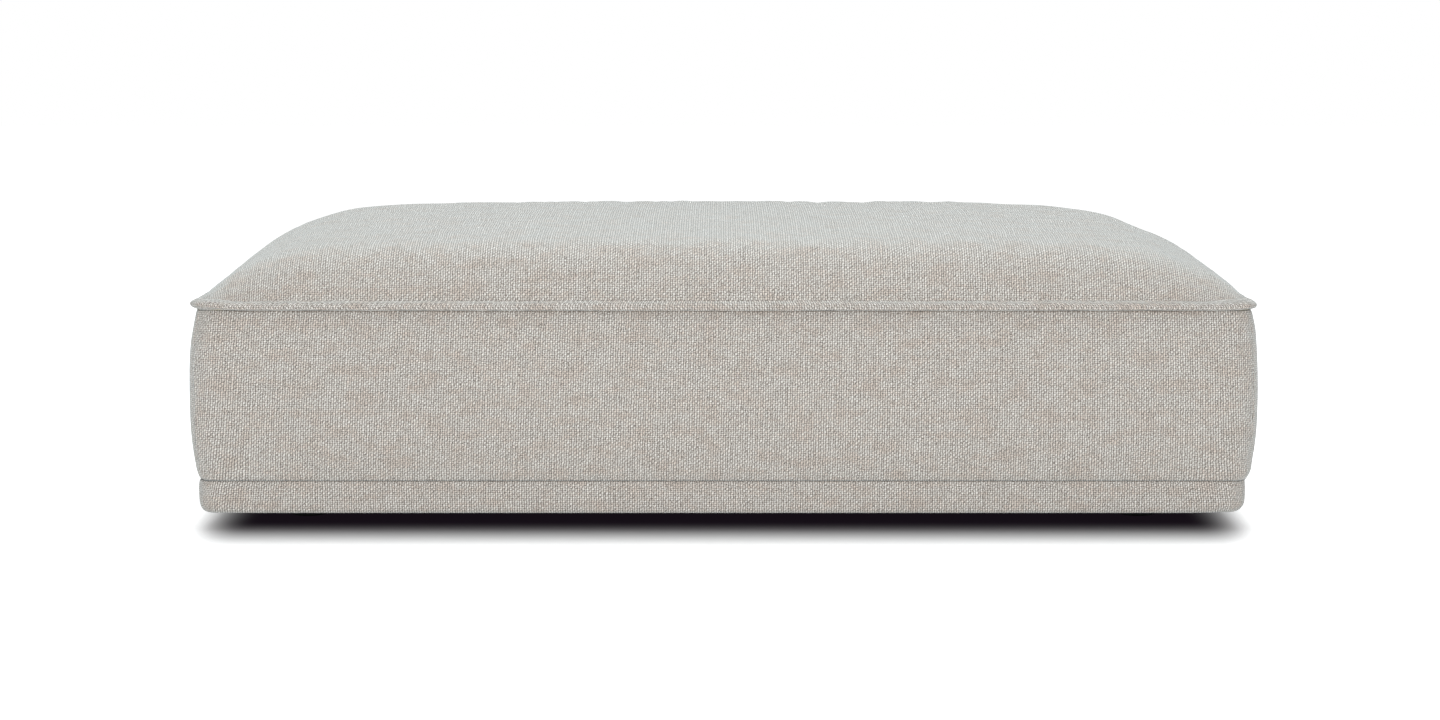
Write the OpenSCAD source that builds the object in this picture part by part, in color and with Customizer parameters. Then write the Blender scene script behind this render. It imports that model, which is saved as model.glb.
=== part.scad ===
// Upholstered rectangular footstool with a crowned top, a lipped top seam and a lower band.
// Origin on the floor under the middle, X along the length, Y towards the back, Z up, millimetres.

/* [Overall] */
// Length over the top seam
body_w = 1330; // [1000:5:1600]
// Depth over the top seam
body_d = 700; // [560:5:900]
// Plan radius of the covered corners at the top seam
corner_r = 20; // [19:1:26]
// Height of the boxing between the band and the lip
boxing_h = 217; // [190:5:280]
// Height of the lower band
band_h = 43; // [34:1:60]

/* [Covering] */
// Thickness of the woven covering fabric
fabric_t = 2; // [1:0.1:3]
// How far the lip stands out past the top seam
lip_out = 6; // [4:0.5:12]
// Thickness of each of the two halves of the lip
lip_half = 5; // [3:0.5:6]
// Plan radius of the lip's pointed corners
lip_corner_r = 8; // [4:1:16]
// How far the boxing bulges past the top seam
bulge_out = 12.5; // [2:0.5:16]
// Height of the fullest line, as a share of the boxing's height
bulge_place = 0.46; // [0.35:0.01:0.7]
// How far the lower seam and the band lie inside the top seam
band_in = 0; // [0:0.5:6]
// Outer radius where the band turns under the frame
turn_r = 12; // [8:0.5:12]
// Width of the band's hem under the frame, from its face
hem_w = 45; // [40:1:50]
// Depth of the seam allowances behind the lower seam
allowance_w = 10; // [6:0.5:10]
// Gap left at a sewn joint between two panels
seam_gap = 0.3; // [0.1:0.1:1]
// Thickness of the dust cover under the frame
dust_t = 0.6; // [0.4:0.1:1.5]
// How far the dust cover stays inside the top seam
dust_in = 24; // [18:1:30]

/* [Crown] */
// Rise of the top's middle over the middle of the lip
crown_rise = 94; // [88:1:120]
// Length over which the crown rises from the left and right seams
crown_reach_x = 332; // [260:1:400]
// Length over which the crown rises from the front and rear seams
crown_reach_y = 89; // [70:1:110]
// Fullness of the crown's shoulder
crown_fullness = 3.96; // [3:0.02:5]
// Steepness of the crown's first rise, a smaller number being steeper
crown_edge = 0.718; // [0.6:0.002:0.85]
// Share of the rise that the crown loses towards the left and right
crown_fall_x = 0.084; // [0:0.002:0.15]
// Share of the rise that the crown loses towards the front and rear
crown_fall_y = 0.216; // [0:0.002:0.3]

/* [Padding] */
// Distance from the top seam to the outer face of the frame's boards
pad_in = 28; // [25:1:36]
// Clearance between nested soft pieces
soft_gap = 0.3; // [0.2:0.05:0.8]
// Thickness of the felt over the springs
felt_t = 4; // [3:0.5:8]
// How far the foam core's top stands above the top seam
core_over_seam = 17.3; // [3:0.1:21]
// Plan radius of the foam core's corners
core_r = 10; // [4:1:20]

/* [Frame] */
// Height of the wooden frame up to the spring rails
frame_h = 168; // [150:1:172]
// Thickness of the frame's boards set on edge
rail_t = 22; // [18:0.5:25]
// Height of the bottom rails
bottom_rail_h = 60; // [45:1:70]
// Height of the spring rails
spring_rail_h = 60; // [45:1:75]
// Side of the square corner posts
post_w = 40; // [35:1:60]
// Width of the middle posts
middle_post_w = 60; // [40:1:90]
// Thickness of the hardboard on the frame's outside
board_t = 3; // [2:0.5:5]
// Length of the corner blocks along each rail
block_w = 130; // [120:1:160]
// Thickness of the corner blocks
block_t = 22; // [18:1:26]

/* [Springs] */
// Number of gaps between the springs, one less than their count
spring_spaces = 8; // [8:1:8]
// Distance between neighbouring springs
spring_pitch = 130; // [100:1:134]
// Overall width of a zigzag spring
spring_w = 52; // [46:1:60]
// Number of bends along a spring
spring_bends = 26; // [20:2:30]
// Diameter of the spring wire
wire_d = 3.8; // [3:0.1:4.2]
// Diameter of the tie wires across the springs
tie_d = 2.5; // [2:0.1:3]
// Bends from the middle of a spring to each tie wire
tie_bends = 5; // [3:2:9]
// Width of a spring clip
clip_w = 18; // [16:1:20]
// Thickness of the clip's strip
clip_t = 1.2; // [0.8:0.1:1.5]
// Clearance between the wire and the clip that holds it
clip_gap = 0.3; // [0.2:0.05:0.5]
// Length of the clip's nailing tongue from the middle of the wire
tongue_l = 10.5; // [10:0.25:11]

/* [Feet] */
// Height of the feet
foot_h = 21; // [20:1:50]
// Diameter of a foot where it meets the frame
foot_top_d = 60; // [50:1:70]
// Diameter of a foot on the floor
foot_bottom_d = 50; // [44:1:60]
// Distance from the inner face of the rails to the middle of a foot
foot_in = 70; // [64:1:76]
// Radius of the foot's lower edge
foot_edge_r = 2; // [1:0.5:3]

/* [Fasteners] */
// Diameter of the foot screws
foot_screw_d = 6; // [5:0.5:7]
// Depth that a foot screw reaches into its corner block
foot_screw_grip = 17; // [10:1:17]
// Depth of the screw's recess in the foot
foot_recess = 8; // [6:0.5:10]
// Diameter of the frame screws
frame_screw_d = 4.5; // [4:0.1:5]
// Depth that a frame screw reaches into its post
frame_screw_grip = 18; // [12:1:18]
// Clearance all round a screw or nail in its hole
hole_gap = 0.2; // [0.1:0.05:0.4]
// Diameter of the clip nails
nail_d = 2.2; // [1.8:0.1:2.4]
// Length of a clip nail under the clip
nail_l = 20; // [14:1:30]

/* [Hidden] */

// Colours of the covering, the inner materials and the hardware
linen_colour = [0.73, 0.71, 0.68];
foam_colour = [0.93, 0.9, 0.78];
fibre_colour = [0.95, 0.95, 0.93];
felt_colour = [0.45, 0.45, 0.47];
pine_colour = [0.82, 0.68, 0.48];
board_colour = [0.48, 0.34, 0.22];
steel_colour = [0.66, 0.67, 0.69];
black_colour = [0.06, 0.06, 0.065];

// Half sizes in plan
half_w = body_w / 2;
half_d = body_d / 2;

// Heights of the seams and of the frame, from the floor up
hem_z = foot_h + dust_t;
frame_z = hem_z + fabric_t;
band_top_z = foot_h + band_h;
lip_z = band_top_z + boxing_h;
seam_z = lip_z + lip_half;
rail_top_z = frame_z + frame_h;
spring_rail_z = rail_top_z - spring_rail_h;
spring_z = rail_top_z + clip_t + clip_gap + wire_d / 2;
tie_z = spring_z + wire_d / 2 + clip_gap + tie_d / 2;
felt_z = tie_z + tie_d / 2 + clip_gap;
core_z = felt_z + felt_t + soft_gap;
core_top_z = seam_z + core_over_seam;
core_t = core_top_z - core_z;

// Plan sizes of the frame
board_x = half_w - pad_in;
board_y = half_d - pad_in;
rail_x = board_x - board_t;
rail_y = board_y - board_t;
inner_x = rail_x - rail_t;
inner_y = rail_y - rail_t;

// Springs between the front and rear spring rails
pitch_step = 0.02;
bar_pitch = round(2 * (rail_y - rail_t / 2) / spring_bends / pitch_step) * pitch_step;
spring_y = spring_bends * bar_pitch / 2;
bend_r = bar_pitch / 2;
bar_l = spring_w - 2 * bend_r - wire_d;
nail_head_d = 6;
nail_head_t = 1;
nail_past_middle = 0.4;
nail_edge = 0.5;
nail_out = (tongue_l + wire_d / 2 + clip_gap + clip_t) / 2 + nail_past_middle;
nail_apart = clip_w / 2 - nail_head_d / 2 - nail_edge;

// Places of the feet and screws
foot_x = inner_x - foot_in;
foot_y = inner_y - foot_in;
foot_head_d = 2 * foot_screw_d;
head_gap = 1;
frame_head_d = 2 * frame_screw_d;
frame_screw_l = rail_t + frame_screw_grip;
screw_rise = 0.28;
cross_rise = 0.12;
block_cut = 0.38;

// Counts of points along the rings of the crown and along the profiles
side_steps = 3;
arc_steps = 4;
front_steps = 5;
ring_count = 4 * (side_steps + arc_steps + front_steps);
profile_steps = 18;
turn_steps = 8;
overlap = 0.01;

// Insets of the rings on the crown as shares of the half depth, closest where it bends most
ring_shares = [0.009, 0.023, 0.046, 0.08, 0.131, 0.211, 0.329, 0.486, 0.686, 0.929];
ring_insets = [for (s = ring_shares) s * half_d];
ring_spread = 0.25;
ring_most = 0.8;
corner_ease = 40;

// Roundness of the boxing below and above its fullest line
low_roundness = 2.9;
high_roundness = 2.4;

// Small radii and margins of the covering and its padding
lip_round = 1;
hem_r = 1;
dust_r = 2;
pad_rib = 2;
zone_margin = 10;

// Height of the crown's profile at a distance inside one pair of seams
function rise(inside, reach) =
    pow(1 - pow(1 - min(max(inside, 0) / reach, 1), crown_fullness), crown_edge);

// Height of the crown over the seam at a point in plan
function crown(p) =
    crown_rise
    * rise(half_w - abs(p.x), crown_reach_x)
    * rise(half_d - abs(p.y), crown_reach_y)
    * (1 - crown_fall_x * pow(p.x / half_w, 2) - crown_fall_y * pow(p.y / half_d, 2));

// Corner radius of a ring at an inset from the top seam
function ring_r(inset) = min(corner_r + ring_spread * inset, ring_most * (half_d - inset));

// Points of a ring from the middle of the right side to the middle of the rear side
function quarter(inset, r) =
    let (
        cx = half_w - inset - r,
        cy = half_d - inset - r
    )
    concat(
        [for (i = [0 : side_steps - 1]) [cx + r, cy * sin(90 * i / side_steps)]],
        [for (i = [0 : arc_steps]) let (a = 90 * i / arc_steps) [cx + r * cos(a), cy + r * sin(a)]],
        [for (i = [front_steps - 1 : -1 : 0]) [cx * sin(90 * i / front_steps), cy + r]]
    );

// Whole ring, anticlockwise from the middle of the right side
function ring(inset, r) =
    let (
        q = quarter(inset, r),
        n = len(q) - 1
    )
    concat(
        [for (i = [0 : n - 1]) q[i]],
        [for (i = [n : -1 : 1]) [-q[i].x, q[i].y]],
        [for (i = [0 : n - 1]) [-q[i].x, -q[i].y]],
        [for (i = [n : -1 : 1]) [q[i].x, -q[i].y]]
    );

// Ring lifted to one height
function level_ring(inset, r, z) = [for (p = ring(inset, r)) [p.x, p.y, z]];

// Ring on the crown, moved inward and down by the same amount
function crown_ring(inset, under) =
    let (
        seam = ring(0, corner_r),
        on = ring(inset, ring_r(inset)),
        in = ring(inset + under, ring_r(inset + under)),
        ease = pow(1 - min(inset / corner_ease, 1), 2)
    )
    [for (i = [0 : ring_count - 1])
        [in[i].x, in[i].y, seam_z + max(crown(on[i]) - ease * crown(seam[i]), lip_half) - under]];

// How far the boxing stands outside the top seam at a share of its height
function bulge(s) =
    s < bulge_place
    ? bulge_out - (bulge_out + band_in) * pow(1 - s / bulge_place, low_roundness)
    : bulge_out - bulge_out * pow((s - bulge_place) / (1 - bulge_place), high_roundness);

// Points of the boxing's section, bottom to top, moved inward
function boxing_line(under, z_from, z_to) =
    [for (i = [0 : profile_steps])
        let (z = z_from + (z_to - z_from) * i / profile_steps)
        [bulge(max((z - band_top_z) / boxing_h, 0)) - under, z]];

// Points of the band's lower turn, from its face to its underside
function turn_line(r) =
    [for (i = [0 : turn_steps])
        let (a = 90 * i / turn_steps)
        [r * cos(a) - band_in - turn_r, hem_z + turn_r - r * sin(a)]];

// Closed skin drawn through rings that run from the lower middle round to the upper middle.
// Before the turn each strip is split the other way, so that inner and outer faces match.
module ring_skin(rings, low, high, turn) {
    n = ring_count;
    last = len(rings) - 1;
    points = concat([for (r = rings) each r], [low, high]);
    low_at = (last + 1) * n;
    high_at = low_at + 1;
    strips = [for (k = [0 : last - 1]) for (i = [0 : n - 1])
        let (
            a = k * n + i,
            b = k * n + (i + 1) % n,
            c = a + n,
            d = b + n
        )
        each k < turn ? [[a, c, b], [c, d, b]] : [[a, c, d], [a, d, b]]];
    faces = concat(
        strips,
        [for (i = [0 : n - 1]) [low_at, i, (i + 1) % n]],
        [for (i = [0 : n - 1]) [high_at, last * n + (i + 1) % n, last * n + i]]
    );
    polyhedron(points, faces, convexity = 6);
}

// Rectangle with round corners, about the middle
module rounded(w, d, r) {
    square([2 * (w - r), 2 * d], center = true);
    square([2 * w, 2 * (d - r)], center = true);
    for (x = [-1, 1]) for (y = [-1, 1])
        translate([x * (w - r), y * (d - r)]) circle(r, $fn = 48);
}

// Flat frame of even width between two insets from the top seam
module flat_ring(outer_in, outer_r, inner_in, inner_r, z, t) {
    translate([0, 0, z]) linear_extrude(t) difference() {
        rounded(half_w - outer_in, half_d - outer_in, outer_r);
        rounded(half_w - inner_in, half_d - inner_in, inner_r);
    }
}

// Section swept all round the body, its first axis measured outward from the top seam
module sweep_ring(section) {
    cx = half_w - corner_r;
    cy = half_d - corner_r;
    turned = [for (p = section) [p.x + corner_r, p.y]];
    for (k = [0 : 3]) {
        sx = (k == 0 || k == 3) ? 1 : -1;
        sy = k < 2 ? 1 : -1;
        translate([sx * cx, sy * cy, 0]) rotate([0, 0, 90 * k])
            rotate_extrude(angle = 90, $fn = 96) polygon(turned);
    }
    for (side = [0, 180]) rotate([0, 0, side]) {
        translate([cx, cy, 0]) rotate([90, 0, 0]) linear_extrude(2 * cy) polygon(turned);
        translate([-cx, cy, 0]) rotate([90, 0, 90]) linear_extrude(2 * cx) polygon(turned);
    }
}

// Plan region that one panel covers, split from its neighbours along the corner seams
module panel_zone(side) {
    cx = half_w - corner_r;
    cy = half_d - corner_r;
    deep = pad_in + corner_r;
    wide = corner_r + bulge_out + lip_out + zone_margin;
    g = seam_gap / sqrt(2);
    mx = side == "left" ? 1 : 0;
    my = side == "front" ? 1 : 0;
    mirror([mx, 0, 0]) mirror([0, my, 0]) linear_extrude(seam_z + crown_rise)
        if (side == "front" || side == "rear")
            polygon([
                [cx - deep - g, cy - deep], [cx + wide - g, cy + wide],
                [-cx - wide + g, cy + wide], [-cx + deep + g, cy - deep]
            ]);
        else
            polygon([
                [cx - deep, cy - deep - g], [cx - deep, -cy + deep + g],
                [cx + wide, -cy - wide + g], [cx + wide, cy + wide - g]
            ]);
}

// Crowned top panel with its half of the lip
module cover_top() {
    low = seam_z + seam_gap / 2;
    top = seam_z + lip_half;
    rings = concat(
        [for (k = [len(ring_insets) - 1 : -1 : 0]) crown_ring(ring_insets[k], fabric_t)],
        [level_ring(fabric_t, corner_r, low)],
        [level_ring(lip_round - lip_out, lip_corner_r, low)],
        [level_ring(-lip_out, lip_corner_r, (low + top) / 2)],
        [level_ring(lip_round - lip_out, lip_corner_r, top)],
        [level_ring(0, corner_r, top)],
        [for (inset = ring_insets) crown_ring(inset, 0)]
    );
    peak = seam_z + crown([0, 0]);
    color(linen_colour)
        ring_skin(rings, [0, 0, peak - fabric_t], [0, 0, peak], len(ring_insets));
}

// One side of the boxing, with its half of the lip and its lower seam allowance
module boxing(side) {
    low = band_top_z + seam_gap / 2;
    top = seam_z - seam_gap / 2;
    outer = boxing_line(0, low, lip_z);
    inner = boxing_line(fabric_t, low + fabric_t, lip_z);
    section = concat(
        outer,
        [[0, top], [-fabric_t, top]],
        [for (i = [profile_steps : -1 : 0]) inner[i]],
        [[-band_in - allowance_w, low + fabric_t], [-band_in - allowance_w, low]]
    );
    color(linen_colour) intersection() {
        union() {
            sweep_ring(section);
            flat_ring(-lip_out, lip_corner_r, fabric_t, corner_r - fabric_t, lip_z, top - lip_z);
        }
        panel_zone(side);
    }
}

// One side of the lower band, turned under the frame into a hem
module band(side) {
    top = band_top_z - seam_gap / 2;
    face = -band_in;
    section = concat(
        [[face, top], [face - allowance_w, top], [face - allowance_w, top - fabric_t]],
        [[face - fabric_t, top - fabric_t]],
        turn_line(turn_r - fabric_t),
        [for (i = [turn_steps : -1 : 0]) turn_line(turn_r)[i]]
    );
    turned_in = band_in + turn_r;
    color(linen_colour) intersection() {
        union() {
            sweep_ring(section);
            flat_ring(turned_in, corner_r - turned_in, band_in + hem_w, hem_r, hem_z, fabric_t);
        }
        panel_zone(side);
    }
}

// Thin cloth that closes the underside
module dust_cover() {
    color(black_colour) difference() {
        translate([0, 0, foot_h]) linear_extrude(dust_t)
            rounded(half_w - dust_in, half_d - dust_in, dust_r);
        foot_screw_holes();
    }
}

// Soft domed pad over the foam core, with a skirt that hangs over the core's edge
module crown_pad() {
    under = fabric_t + soft_gap;
    low = seam_z + soft_gap;
    recess = pad_in - soft_gap;
    ceiling = core_top_z + soft_gap;
    skirt = ring_insets[0] + under;
    rings = concat(
        [level_ring(recess, core_r - soft_gap, ceiling)],
        [level_ring(recess, core_r - soft_gap, low)],
        [level_ring(skirt, ring_r(skirt), low)],
        [for (inset = ring_insets) crown_ring(inset, under)]
    );
    peak = seam_z + crown([0, 0]) - under;
    color(fibre_colour) ring_skin(rings, [0, 0, ceiling], [0, 0, peak], 0);
}

// Firm foam block that carries the weight
module foam_core() {
    color(foam_colour) translate([0, 0, core_z]) linear_extrude(core_t)
        rounded(board_x - soft_gap, board_y - soft_gap, core_r);
}

// Felt sheet that keeps the foam out of the springs
module spring_felt() {
    color(felt_colour) translate([0, 0, felt_z]) linear_extrude(felt_t)
        rounded(board_x - soft_gap, board_y - soft_gap, core_r);
}

// Foam pad on one side, shaped to the boxing and the band and nipped in at their seam
module side_pad(side) {
    under = fabric_t + soft_gap;
    back = pad_rib - corner_r;
    low = frame_z + soft_gap;
    top = seam_z - soft_gap;
    nip = band_in + allowance_w + soft_gap;
    nip_low = band_top_z - seam_gap / 2 - under;
    nip_top = band_top_z + seam_gap / 2 + under;
    section = concat(
        [for (i = [turn_steps : -1 : 0]) turn_line(turn_r - under)[i]],
        [[-band_in - under, nip_low], [-nip, nip_low], [-nip, nip_top]],
        boxing_line(under, nip_top, lip_z),
        [[-under, top], [back, top], [back, low]]
    );
    color(foam_colour) intersection() {
        difference() {
            union() {
                sweep_ring(section);
                block(half_w + back, half_d + back, low, top);
            }
            block(board_x, board_y, 0, seam_z + crown_rise);
        }
        panel_zone(side);
    }
}

// Box about the middle, given by its half sizes and its two heights
module block(x, y, low, high) {
    translate([-x, -y, low]) cube([2 * x, 2 * y, high - low]);
}

// Hardboard sheet on one long side or one short side
module long_board(way) {
    color(board_colour) translate([-board_x, way > 0 ? rail_y : -board_y, frame_z])
        cube([2 * board_x, board_t, felt_z - soft_gap - frame_z]);
}

module short_board(way) {
    color(board_colour) translate([way > 0 ? rail_x : -board_x, -rail_y, frame_z])
        cube([board_t, 2 * rail_y, felt_z - soft_gap - frame_z]);
}

// Rail along the front or the rear, with the holes of the screws that hold it
module long_rail(way, low, h) {
    difference() {
        translate([-rail_x, way > 0 ? inner_y : -rail_y, low]) cube([2 * rail_x, rail_t, h]);
        frame_screw_set(low, h, hole_gap);
    }
}

// Rail along the left or the right, between the long rails
module short_rail(way, low, h, top) {
    difference() {
        translate([way > 0 ? inner_x : -rail_x, -inner_y, low])
            cube([rail_t, 2 * inner_y, top - low]);
        frame_screw_set(low, h, hole_gap);
    }
}

module long_bottom_rail(way) {
    color(pine_colour) long_rail(way, frame_z, bottom_rail_h);
}

module short_bottom_rail(way) {
    color(pine_colour) short_rail(way, frame_z, bottom_rail_h, frame_z + bottom_rail_h);
}

// Upper rail along the front or the rear, which the spring clips are nailed to
module spring_rail(way) {
    color(pine_colour) difference() {
        long_rail(way, spring_rail_z, spring_rail_h);
        clip_nail_set(hole_gap);
    }
}

// Upper rail along the left or the right, as high as the tie wires that rest on it
module short_top_rail(way) {
    color(pine_colour) short_rail(way, spring_rail_z, spring_rail_h, tie_z - tie_d / 2);
}

// Square post inside one corner
module corner_post(x, y) {
    color(pine_colour) difference() {
        translate([x > 0 ? inner_x - post_w : -inner_x, y > 0 ? inner_y - post_w : -inner_y, frame_z])
            cube([post_w, post_w, frame_h]);
        all_frame_screws(hole_gap);
    }
}

// Upright board at the middle of the front or the rear
module middle_post(way) {
    color(pine_colour) difference() {
        translate([-middle_post_w / 2, way > 0 ? inner_y - rail_t : -inner_y, frame_z])
            cube([middle_post_w, rail_t, frame_h]);
        all_frame_screws(hole_gap);
    }
}

// Cross rail between the two middle posts
module centre_stretcher() {
    color(pine_colour) translate([-rail_t / 2, -inner_y + rail_t, frame_z])
        cube([rail_t, 2 * (inner_y - rail_t), bottom_rail_h]);
}

// Plates in the frame's lower corners, cut round the posts and across the inner corner
module corner_blocks() {
    notch = post_w + hole_gap;
    cut = block_w * block_cut;
    color(pine_colour) difference() {
        for (sx = [-1, 1]) for (sy = [-1, 1]) scale([sx, sy, 1])
            translate([inner_x, inner_y, hem_z]) linear_extrude(block_t) polygon([
                [0, -block_w], [0, -notch], [-notch, -notch], [-notch, 0],
                [-block_w, 0], [-block_w, -cut], [-cut, -block_w]
            ]);
        foot_screw_holes();
    }
}

// Straight bars of a zigzag spring, side by side along Y
module spring_bars() {
    for (i = [0 : spring_bends])
        translate([-bar_l / 2, i * bar_pitch - spring_y, 0]) rotate([0, 90, 0])
            cylinder(h = bar_l, d = wire_d, $fn = 48);
}

// Half turns that join the bars, right and left in turn
module spring_turns() {
    for (i = [0 : spring_bends - 1])
        translate([(i % 2 == 0 ? 1 : -1) * bar_l / 2, (i + 0.5) * bar_pitch - spring_y, 0])
            rotate([0, 0, i % 2 == 0 ? -90 : 90])
                rotate_extrude(angle = 180, $fn = 48) translate([bend_r, 0])
                    circle(d = wire_d, $fn = 48);
}

// Flat zigzag of round wire from the front rail to the rear rail
module zigzag_spring(number) {
    x = (number - 1 - spring_spaces / 2) * spring_pitch;
    color(steel_colour) translate([x, 0, spring_z]) {
        union() spring_bars();
        union() spring_turns();
    }
}

// Copies of a child at every clip, the child's Y pointing outward
module at_clips() {
    for (i = [0 : spring_spaces]) for (turn = [0, 180])
        rotate([0, 0, turn]) translate([(i - spring_spaces / 2) * spring_pitch, spring_y, 0]) children();
}

// Bent steel clips, each with a curl round a spring's end bar and a nailed tongue
module spring_clips() {
    eye = wire_d / 2 + clip_gap;
    curl = eye + clip_t;
    color(steel_colour) difference() {
        at_clips() translate([-clip_w / 2, 0, 0]) rotate([90, 0, 90]) linear_extrude(clip_w) {
            translate([0, spring_z]) difference() {
                circle(curl, $fn = 48);
                circle(eye, $fn = 48);
                rotate(100) square([2 * curl, 2 * curl]);
            }
            difference() {
                translate([0, rail_top_z]) square([tongue_l, clip_t]);
                translate([0, spring_z]) circle((eye + curl) / 2, $fn = 48);
            }
        }
        clip_nail_set(hole_gap);
    }
}

// Clip nails, or their holes when grown by a gap
module clip_nail_set(gap) {
    seat = rail_top_z + clip_t;
    at_clips() for (x = [-nail_apart, nail_apart]) translate([x, nail_out, 0]) {
        cylinder_between(seat - nail_l - gap, seat + overlap, nail_d + 2 * gap);
        if (gap == 0) cylinder_between(seat, seat + nail_head_t, nail_head_d);
    }
}

module clip_nails() {
    color(steel_colour) clip_nail_set(0);
}

// Straight wires across the springs, resting on the short top rails
module spring_tie_wires() {
    reach = rail_x - soft_gap;
    color(steel_colour) for (way = [-1, 1])
        translate([-reach, way * tie_bends * bar_pitch, tie_z]) rotate([0, 90, 0])
            cylinder(h = 2 * reach, d = tie_d, $fn = 48);
}

// Tapered round foot with a recess for its screw
module foot(x, y) {
    top_r = foot_top_d / 2;
    bottom_r = foot_bottom_d / 2;
    bore = foot_screw_d / 2 + hole_gap;
    recess = foot_head_d / 2 + head_gap;
    color(black_colour) translate([x * foot_x, y * foot_y, 0])
        rotate_extrude($fn = 96) polygon([
            [bore, foot_h], [top_r, foot_h], [top_r, foot_h - foot_edge_r],
            [bottom_r, foot_edge_r], [bottom_r - foot_edge_r, 0],
            [recess, 0], [recess, foot_recess], [bore, foot_recess]
        ]);
}

// Places of the four feet
module at_feet() {
    for (x = [-foot_x, foot_x]) for (y = [-foot_y, foot_y]) translate([x, y, 0]) children();
}

// Screws that hold the feet
module foot_screws() {
    tip = hem_z + foot_screw_grip;
    color(steel_colour) at_feet() {
        cylinder_between(foot_recess - foot_screw_d / 2, foot_recess, foot_head_d);
        cylinder_between(foot_recess - overlap, tip, foot_screw_d);
    }
}

module foot_screw_holes() {
    at_feet() cylinder_between(foot_recess, hem_z + foot_screw_grip + hole_gap, foot_screw_d + 2 * hole_gap);
}

// Upright cylinder from one height to another
module cylinder_between(low, high, d) {
    translate([0, 0, low]) cylinder(h = high - low, d = d, $fn = 48);
}

// One countersunk frame screw along +Y, its head flush with Y = 0
module frame_screw(gap) {
    head_r = frame_head_d / 2 + gap;
    shank_r = frame_screw_d / 2 + gap;
    rotate([-90, 0, 0]) rotate_extrude($fn = 48) polygon([
        [0, 0], [head_r, 0], [shank_r, head_r - shank_r],
        [shank_r, frame_screw_l + gap], [0, frame_screw_l + gap]
    ]);
}

// Frame screws of the rails between two heights, or their holes when grown by a gap
module frame_screw_set(low, h, gap) {
    middle = low + h / 2;
    for (turn = [0, 180]) rotate([0, 0, turn]) {
        for (dz = [-screw_rise, screw_rise]) for (x = [-inner_x + post_w / 2, 0, inner_x - post_w / 2])
            translate([x, -rail_y, middle + dz * h]) frame_screw(gap);
        for (dz = [-cross_rise, cross_rise]) for (y = [-inner_y + post_w / 2, inner_y - post_w / 2])
            translate([-rail_x, y, middle + dz * h]) rotate([0, 0, -90]) frame_screw(gap);
    }
}

module all_frame_screws(gap) {
    frame_screw_set(frame_z, bottom_rail_h, gap);
    frame_screw_set(spring_rail_z, spring_rail_h, gap);
}

module frame_screws() {
    color(steel_colour) all_frame_screws(0);
}

cover_top();
boxing("front");  // front_boxing
boxing("rear");  // rear_boxing
boxing("left");  // left_boxing
boxing("right");  // right_boxing
band("front");  // front_band
band("rear");  // rear_band
band("left");  // left_band
band("right");  // right_band
dust_cover();
crown_pad();
foam_core();
spring_felt();
side_pad("front");  // front_pad
side_pad("rear");  // rear_pad
side_pad("left");  // left_pad
side_pad("right");  // right_pad
long_board(-1);  // front_board
long_board(1);  // rear_board
short_board(-1);  // left_board
short_board(1);  // right_board
long_bottom_rail(-1);  // front_bottom_rail
long_bottom_rail(1);  // rear_bottom_rail
short_bottom_rail(-1);  // left_bottom_rail
short_bottom_rail(1);  // right_bottom_rail
spring_rail(-1);  // front_spring_rail
spring_rail(1);  // rear_spring_rail
short_top_rail(-1);  // left_top_rail
short_top_rail(1);  // right_top_rail
corner_post(-1, -1);  // front_left_post
corner_post(1, -1);  // front_right_post
corner_post(-1, 1);  // rear_left_post
corner_post(1, 1);  // rear_right_post
middle_post(-1);  // front_middle_post
middle_post(1);  // rear_middle_post
centre_stretcher();
corner_blocks();
zigzag_spring(1);  // zigzag_spring_1
zigzag_spring(2);  // zigzag_spring_2
zigzag_spring(3);  // zigzag_spring_3
zigzag_spring(4);  // zigzag_spring_4
zigzag_spring(5);  // zigzag_spring_5
zigzag_spring(6);  // zigzag_spring_6
zigzag_spring(7);  // zigzag_spring_7
zigzag_spring(8);  // zigzag_spring_8
zigzag_spring(9);  // zigzag_spring_9
spring_clips();
clip_nails();
spring_tie_wires();
foot(-1, -1);  // front_left_foot
foot(1, -1);  // front_right_foot
foot(-1, 1);  // rear_left_foot
foot(1, 1);  // rear_right_foot
foot_screws();
frame_screws();
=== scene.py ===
import math
from functools import cached_property

import bpy
import numpy as np
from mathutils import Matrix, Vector


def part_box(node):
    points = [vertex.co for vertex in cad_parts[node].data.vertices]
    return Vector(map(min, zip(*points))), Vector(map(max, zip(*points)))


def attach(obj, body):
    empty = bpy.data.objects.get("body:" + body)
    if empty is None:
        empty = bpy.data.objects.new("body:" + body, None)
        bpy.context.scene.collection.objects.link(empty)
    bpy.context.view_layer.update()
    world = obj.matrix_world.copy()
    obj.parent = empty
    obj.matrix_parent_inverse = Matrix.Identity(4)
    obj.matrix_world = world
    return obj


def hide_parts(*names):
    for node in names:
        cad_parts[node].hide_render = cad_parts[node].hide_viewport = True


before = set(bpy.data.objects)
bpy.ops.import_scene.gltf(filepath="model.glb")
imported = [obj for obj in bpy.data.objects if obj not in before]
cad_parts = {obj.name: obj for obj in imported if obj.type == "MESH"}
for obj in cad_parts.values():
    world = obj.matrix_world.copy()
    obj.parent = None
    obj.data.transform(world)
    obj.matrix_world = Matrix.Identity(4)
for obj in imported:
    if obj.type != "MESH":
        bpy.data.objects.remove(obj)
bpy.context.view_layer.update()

# Sizes that the looks share with the solids, in metres
LIP_OUT = 0.006
LIP_HALF = 0.005
LIP_CORNER_R = 0.008
CORNER_R = 0.020
BULGE_OUT = 0.0125
BULGE_PLACE = 0.46
LOW_ROUNDNESS, HIGH_ROUNDNESS = 2.9, 2.4
TURN_R = 0.012
TURN_FULLNESS = 0.8
HEM_W = 0.045
FABRIC_T = 0.002
PAD_IN = 0.028
CORE_R = 0.010
TOP_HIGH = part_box("cover_top")[1]
HALF_W = TOP_HIGH.x - LIP_OUT
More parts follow.
